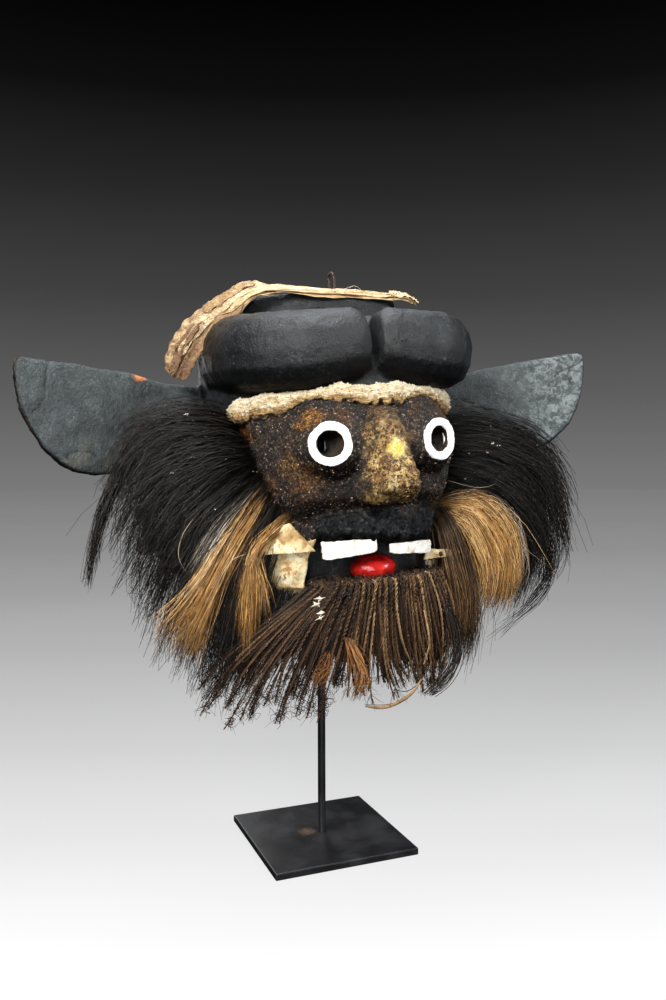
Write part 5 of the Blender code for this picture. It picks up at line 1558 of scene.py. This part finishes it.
def band_material():
    """Cream fibre, ochre towards the band's lower edge, with painted shade in patches along that edge."""
    s = Shader("pale_fibre_band")
    level = s.painted("level")[0]
    streak = s.noise(420, 5, 0.68, 0.5, s.stretched((0.35, 0.35, 1.3)))
    cream = s.ramp(streak, (0.32, (0.30, 0.19, 0.08)), (0.46, (0.60, 0.47, 0.27)), (0.62, (0.80, 0.72, 0.54)))
    dark, middle, light = (0.05, 0.024, 0.008), (0.30, 0.17, 0.055), (0.72, 0.54, 0.26)
    ochre = s.ramp(streak, (0.34, dark), (0.50, middle), (0.72, light))
    ragged = s.plus(level, s.times(s.math("SUBTRACT", s.noise(95, 4, 0.6), 0.5), 0.9))
    colour = s.mix(s.band(ragged, 0.56, 0.30), cream, ochre)
    # Painted shade: near-black patches along the band's lowest part.
    lower_edge_shade = s.times(s.band(ragged, 0.18, 0.02), s.band(s.noise(150, 3, 0.6), 0.42, 0.58))
    colour = s.mix(lower_edge_shade, colour, (0.018, 0.010, 0.006))
    spot = s.band(s.noise(300, 5, 0.75), 0.55, 0.62)
    colour = s.mix(s.times(spot, 0.8), colour, (0.10, 0.055, 0.022))
    s.set(Base_Color=colour, Roughness=0.9)
    s.bump(s.noise(300, 5, 0.75), 0.0022)
    s.bump(streak, 0.0014)
    s.bump(s.noise(900, 4, 0.6), 0.0004)
    return s.material


def leaf_material():
    """Dry leaf, brown and stained towards the strip's right end."""
    s = Shader("dry_leaf")
    fibre = s.noise(900, 4, 0.6, 0.2, s.stretched((0.12, 0.8, 1.0)))
    tone, along, _, _ = s.painted("strand")
    broad = s.noise(70, 5, 0.65, 0.5)
    pick = s.plus(s.times(tone, 0.45), s.times(broad, 0.55))
    colour = s.ramp(
        pick,
        (0.28, (0.120, 0.060, 0.024)),
        (0.42, (0.37, 0.225, 0.095)),
        (0.58, (0.60, 0.43, 0.22)),
        (0.76, (0.80, 0.68, 0.45)),
    )
    colour = s.mix(s.band(fibre, 0.58, 0.38, 0.0, 0.65), colour, (0.17, 0.090, 0.036))
    brown = s.times(s.band(along, 0.42, 0.12), s.band(s.noise(95, 5, 0.7, 0.5), 0.40, 0.54))
    colour = s.mix(s.times(brown, 0.85), colour, (0.130, 0.060, 0.022))
    stain = s.band(s.noise(130, 4, 0.7, 0.6), 0.60, 0.70)
    colour = s.mix(s.times(stain, 0.8), colour, (0.055, 0.026, 0.012))
    s.set(Base_Color=colour, Roughness=s.band(broad, 0.3, 0.8, 0.42, 0.68))
    s.bump(fibre, 0.0008)
    s.bump(s.noise(330, 4, 0.6), 0.0009)
    return s.material


def tooth_material():
    """White paint, scratched and stained."""
    s = Shader("tooth_white")
    stain = s.noise(130, 5, 0.65, 0.5)
    colour = s.ramp(stain, (0.28, (0.42, 0.34, 0.24)), (0.46, (0.72, 0.68, 0.60)), (0.62, (0.80, 0.79, 0.75)))
    spot = s.band(s.noise(420, 3, 0.6), 0.66, 0.73)
    colour = s.mix(s.times(spot, 0.8), colour, (0.09, 0.06, 0.045))
    scratch = s.band(s.noise(700, 3, 0.6, 0.0, s.stretched((0.2, 0.2, 1.6))), 0.62, 0.70)
    colour = s.mix(s.times(scratch, 0.4), colour, (0.36, 0.31, 0.25))
    s.set(Base_Color=colour, Roughness=s.band(stain, 0.3, 0.7, 0.62, 0.42))
    s.bump(s.noise(520, 4, 0.6), 0.0004)
    s.bump(stain, 0.0006)
    return s.material


def tongue_material():
    """Red gloss paint with dirt."""
    s = Shader("tongue_red")
    broad = s.noise(110, 4, 0.6)
    dark, middle, light = (0.10, 0.004, 0.003), (0.32, 0.007, 0.006), (0.50, 0.018, 0.012)
    colour = s.ramp(broad, (0.30, dark), (0.55, middle), (0.80, light))
    dirt = s.band(s.noise(380, 4, 0.7), 0.60, 0.72)
    colour = s.mix(s.times(dirt, 0.8), colour, (0.035, 0.010, 0.008))
    s.set(Base_Color=colour, Roughness=s.band(dirt, 0.0, 1.0, 0.20, 0.55))
    s.set(Coat_Weight=0.15)
    s.bump(s.noise(260, 4, 0.6), 0.0006)
    return s.material


def hide_material():
    """Pale stiff hide with rusty stains."""
    s = Shader("pale_hide")
    broad = s.noise(60, 5, 0.62, 0.4)
    colour = s.ramp(broad, (0.36, (0.36, 0.22, 0.08)), (0.50, (0.62, 0.48, 0.25)), (0.66, (0.76, 0.68, 0.46)))
    stain = s.band(s.noise(130, 5, 0.75, 0.6), 0.545, 0.62)
    colour = s.mix(s.times(stain, 0.8), colour, (0.26, 0.105, 0.026))
    speck = s.band(s.noise(620, 3, 0.6), 0.66, 0.73)
    colour = s.mix(speck, colour, (0.050, 0.025, 0.012))
    s.set(Base_Color=colour, Roughness=s.band(stain, 0.0, 1.0, 0.55, 0.78))
    s.bump(s.noise(420, 5, 0.6), 0.0006)
    s.bump(broad, 0.0010)
    return s.material


def iron_material():
    """Dark iron of the loop and the tacks, rusty in patches."""
    s = Shader("dark_iron")
    rust = s.band(s.noise(420, 5, 0.7), 0.46, 0.64)
    colour = s.mix(rust, (0.030, 0.027, 0.025), (0.13, 0.052, 0.022))
    s.set(Base_Color=colour, Metallic=s.band(rust, 0.0, 1.0, 0.85, 0.15))
    s.set(Roughness=s.band(rust, 0.0, 1.0, 0.42, 0.85))
    s.bump(s.noise(900, 4, 0.6), 0.0003)
    return s.material


def steel_material():
    """Satin black lacquer with faint dust, and a rusty blemish by the rod's foot."""
    s = Shader("black_steel")
    cloud = s.noise(26, 5, 0.6)
    grain = s.noise(1500, 3, 0.6)
    colour = s.mix(s.band(cloud, 0.35, 0.75), (0.0075, 0.0075, 0.0085), (0.019, 0.019, 0.021))
    dust = s.times(s.band(s.noise(1100, 2, 0.5), 0.66, 0.74), 0.30)
    colour = s.mix(dust, colour, (0.22, 0.215, 0.20))
    away = s.nodes.new("ShaderNodeVectorMath")
    away.operation = "DISTANCE"
    s.links.new(s.place, away.inputs[0])
    away.inputs[1].default_value = (-0.014, 0.004, 0.007)
    blemish = s.band(s.plus(away.outputs["Value"], s.times(s.noise(180, 4, 0.6), 0.012)), 0.018, 0.009)
    colour = s.mix(s.times(blemish, s.band(s.noise(420, 4, 0.7), 0.44, 0.60)), colour, (0.14, 0.060, 0.026))
    rough = s.plus(s.band(cloud, 0.35, 0.75, 0.26, 0.40), s.times(grain, 0.08))
    s.set(Base_Color=colour, Roughness=s.plus(rough, s.times(blemish, 0.3)))
    s.set(Specular_IOR_Level=0.6)
    s.bump(grain, 0.00006)
    s.bump(s.noise(240, 4, 0.6), 0.00012)
    return s.material


# The room: a pale floor, a plain gradient behind it, soft lamps and the camera.

CAMERA_PLACE = (-0.3202, -0.8343, 0.3884)
CAMERA_YAW = math.radians(21.805)
CAMERA_PITCH = math.radians(-2.206)
CAMERA_ROLL = math.radians(-0.15)
CAMERA_LENS = 31.15

# How bright the photo's backdrop is: along the floor by distance past the stand, and overhead by the sine of
# the height above the horizon.
FLOOR_FADE = (
    (-0.26, 0.96), (-0.20, 0.91), (-0.12, 0.84), (-0.02, 0.75), (0.12, 0.68), (0.29, 0.585), (0.55, 0.50),
    (0.94, 0.41), (1.63, 0.342), (3.15, 0.270), (5.45, 0.235), (9.3, 0.210), (12.5, 0.200),
)
SKY_FADE = (
    (-0.04, 0.205), (0.0, 0.174), (0.077, 0.113), (0.19, 0.052), (0.3, 0.02), (0.39, 0.0045), (0.48, 0.0003),
)
FLOOR_REACH = 14.0
FLOOR_BRIGHT = 0.75
FLOOR_PAINT = 0.05


def grey_ramp(nodes, stops, low, high):
    """A grey ramp whose stops are given between two values."""
    node = nodes.new("ShaderNodeValToRGB")
    elements = node.color_ramp.elements
    elements.remove(elements[1])
    elements[0].position = (stops[0][0] - low) / (high - low)
    elements[0].color = (*[stops[0][1]] * 3, 1.0)
    for place, grey in stops[1:]:
        elements.new((place - low) / (high - low)).color = (grey, grey, grey, 1.0)
    return node


def floor_disc():
    """A pale floor that glows with its own light, fading with distance, brightest in front of the stand and
    in a disc round it.
    """
    bpy.ops.mesh.primitive_circle_add(vertices=96, radius=FLOOR_REACH, fill_type="NGON")
    floor = bpy.context.object
    floor.name = "floor"
    s = Shader("floor_paint")
    past = s.nodes.new("ShaderNodeVectorMath")
    past.operation = "DOT_PRODUCT"
    s.links.new(s.place, past.inputs[0])
    past.inputs[1].default_value = (math.sin(CAMERA_YAW), math.cos(CAMERA_YAW), 0.0)
    away = s.nodes.new("ShaderNodeVectorMath")
    away.operation = "LENGTH"
    s.links.new(s.place, away.inputs[0])
    reach = s.math("MAXIMUM", past.outputs["Value"], s.math("SUBTRACT", away.outputs["Value"], FLOOR_BRIGHT))
    low, high = FLOOR_FADE[0][0], FLOOR_FADE[-1][0]
    ramp = grey_ramp(s.nodes, FLOOR_FADE, low, high)
    s.links.new(s.band_line(reach, low, high), ramp.inputs["Fac"])
    # The glow's colour: the fade, with a faint grain.
    grain = s.mix(s.band(s.noise(3, 3, 0.5), 0.3, 0.7, 0.0, 0.02), ramp.outputs["Color"], (0.5, 0.5, 0.5))
    s.set(Base_Color=(FLOOR_PAINT, FLOOR_PAINT, FLOOR_PAINT, 1.0), Roughness=0.9)
    s.set(Emission_Color=grain, Emission_Strength=1.0, Specular_IOR_Level=0.0)
    floor.data.materials.append(s.material)
    floor.visible_diffuse = False
    floor.visible_glossy = False


def studio_world():
    """Grey at the horizon, black overhead."""
    world = bpy.data.worlds.new("studio")
    bpy.context.scene.world = world
    world.use_nodes = True
    nodes, links = world.node_tree.nodes, world.node_tree.links
    place = nodes.new("ShaderNodeTexCoord")
    split = nodes.new("ShaderNodeSeparateXYZ")
    links.new(place.outputs["Generated"], split.inputs["Vector"])
    low, high = SKY_FADE[0][0], SKY_FADE[-1][0]
    ramp = grey_ramp(nodes, SKY_FADE, low, high)
    spread = nodes.new("ShaderNodeMapRange")
    spread.inputs["From Min"].default_value = low
    spread.inputs["From Max"].default_value = high
    links.new(split.outputs["Z"], spread.inputs["Value"])
    links.new(spread.outputs["Result"], ramp.inputs["Fac"])
    links.new(ramp.outputs["Color"], nodes["Background"].inputs["Color"])
    nodes["Background"].inputs["Strength"].default_value = 1.0
    world.cycles_visibility.glossy = False


def lamp(name, place, aim, size, power, colour=(1.0, 1.0, 1.0)):
    """A soft lamp that the camera doesn't see."""
    light = bpy.data.lights.new(name, "AREA")
    light.shape = "RECTANGLE"
    light.size, light.size_y = size
    light.energy = power
    light.color = colour
    obj = bpy.data.objects.new(name, light)
    bpy.context.scene.collection.objects.link(obj)
    obj.location = place
    obj.rotation_euler = (Vector(aim) - Vector(place)).to_track_quat("-Z", "Y").to_euler()
    obj.visible_camera = False


def studio_lamps():
    middle = (0.0, -0.08, 0.36)
    lamp("key_left", (-0.95, -1.00, 1.15), middle, (0.45, 0.45), 36.0, (1.0, 0.99, 0.97))
    lamp("front_low", (-0.45, -1.35, 0.35), middle, (0.8, 0.6), 9.0)
    lamp("side_right", (0.95, -0.95, 1.00), middle, (0.35, 0.45), 15.0, (0.95, 0.98, 1.0))
    lamp("top_soft", (0.05, 0.10, 1.40), middle, (0.8, 0.6), 14.0, (0.92, 0.96, 1.0))
    lamp("back_soft", (-0.3, 1.7, 0.9), middle, (1.4, 1.0), 7.0)


def camera():
    """The camera at the photo's place and angle."""
    data = bpy.data.cameras.new("photo_camera")
    data.lens = CAMERA_LENS
    data.sensor_width = 36.0
    data.sensor_fit = "AUTO"
    obj = bpy.data.objects.new("photo_camera", data)
    bpy.context.scene.collection.objects.link(obj)
    flat = math.cos(CAMERA_PITCH)
    ahead = Vector((math.sin(CAMERA_YAW) * flat, math.cos(CAMERA_YAW) * flat, math.sin(CAMERA_PITCH)))
    turn = ahead.to_track_quat("-Z", "Y").to_matrix().to_4x4()
    obj.matrix_world = Matrix.Translation(CAMERA_PLACE) @ turn @ Matrix.Rotation(CAMERA_ROLL, 4, "Z")
    bpy.context.scene.camera = obj


def repaint(node, material):
    """Gives a CAD node that stays in view its finished material."""
    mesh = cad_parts[node].data
    for place in range(len(mesh.materials)):
        mesh.materials[place] = material


# Hair and bast: the material's name, its colours from the darkest strand to the lightest, the colour at a
# strand's tip and how much of it shows, the colour of its pale flecks, and its roughness.
FIBRES = {
    "black_hair": (
        "black_fur_strands",
        ((0.10, (0.0030, 0.0026, 0.0026)), (0.60, (0.0085, 0.0068, 0.0058)), (0.92, (0.034, 0.023, 0.015))),
        (0.022, 0.015, 0.011), 0.35, (0.45, 0.40, 0.32), 0.50,
    ),
    "tan_hair": (
        "tan_fur_strands",
        (
            (0.14, (0.020, 0.010, 0.004)),
            (0.30, (0.260, 0.120, 0.034)),
            (0.52, (0.580, 0.310, 0.095)),
            (0.75, (0.840, 0.560, 0.240)),
            (0.95, (0.940, 0.800, 0.560)),
        ),
        (0.56, 0.27, 0.07), 0.4, None, 0.45,
    ),
    "brown_hair": (
        "brown_fur_strands",
        (
            (0.10, (0.008, 0.005, 0.003)),
            (0.50, (0.055, 0.028, 0.012)),
            (0.80, (0.240, 0.130, 0.050)),
            (0.97, (0.480, 0.320, 0.150)),
        ),
        (0.12, 0.065, 0.028), 0.4, None, 0.50,
    ),
    "silver_hair": (
        "silver_fur_strands",
        (
            (0.10, (0.020, 0.017, 0.014)),
            (0.40, (0.150, 0.120, 0.090)),
            (0.75, (0.480, 0.430, 0.360)),
            (0.95, (0.800, 0.770, 0.700)),
        ),
        (0.42, 0.34, 0.26), 0.3, None, 0.40,
    ),
    "pale_hair": (
        "pale_long_hairs",
        ((0.3, (0.35, 0.27, 0.18)), (0.8, (0.62, 0.52, 0.38))),
        (0.5, 0.42, 0.3), 0.3, None, 0.55,
    ),
    "dark_wire": (
        "dark_wires",
        ((0.2, (0.006, 0.005, 0.004)), (0.8, (0.030, 0.022, 0.016))),
        (0.02, 0.015, 0.01), 0.3, None, 0.32,
    ),
    "bast_cord": (
        "brown_bast_cords",
        (
            (0.10, (0.010, 0.0050, 0.0030)),
            (0.45, (0.045, 0.0225, 0.0105)),
            (0.72, (0.140, 0.0720, 0.0300)),
            (0.95, (0.310, 0.1900, 0.0880)),
        ),
        (0.070, 0.032, 0.013), 0.55, (0.42, 0.34, 0.22), 0.72,
    ),
    "orange_fibre": (
        "orange_bast_fray",
        ((0.10, (0.040, 0.014, 0.005)), (0.45, (0.260, 0.095, 0.024)), (0.90, (0.620, 0.320, 0.110))),
        (0.36, 0.17, 0.055), 0.4, None, 0.6,
    ),
}

MATERIALS = {key: fibre_material(*values) for key, values in FIBRES.items()} | {
    "wood": wood_material(),
    "flakes": flake_material(),
    "chips": chip_material(),
    "hair_core": core_material("black_fur_core", (0.0020, 0.0016, 0.0015), (0.0100, 0.0075, 0.0060)),
    "beard_core": core_material("brown_bast_core", (0.004, 0.0022, 0.0014), (0.034, 0.017, 0.008)),
    "chalk": chalk_material(),
    "pale_band": band_material(),
    "leaf": leaf_material(),
    "tooth": tooth_material(),
    "tongue": tongue_material(),
    "hide": hide_material(),
    "iron": iron_material(),
    "steel": steel_material(),
}


finish_piece(carve_detail(), "wood", "carved_mask")
eye_ring(-1, 1.0)
eye_ring(1, 2.0)
brow_band()
crown_strip()
hard_pieces()
black_hair("right", BLACK_RIGHT, (-0.4, 0.0, -0.5), 11)
black_hair("left", BLACK_LEFT, (0.4, 0.0, -0.5), 12)
loose_hair()
tan_tufts()
beard()
for node in ("base_plate", "stand_rod"):
    repaint(node, MATERIALS["steel"])
for node in ("hanging_loop", "tack_flap_right", "tack_patch_outer", "tack_patch_inner", "tack_flap_left"):
    repaint(node, MATERIALS["iron"])

bpy.context.scene.view_settings.view_transform = "Standard"
floor_disc()
studio_world()
studio_lamps()
camera()
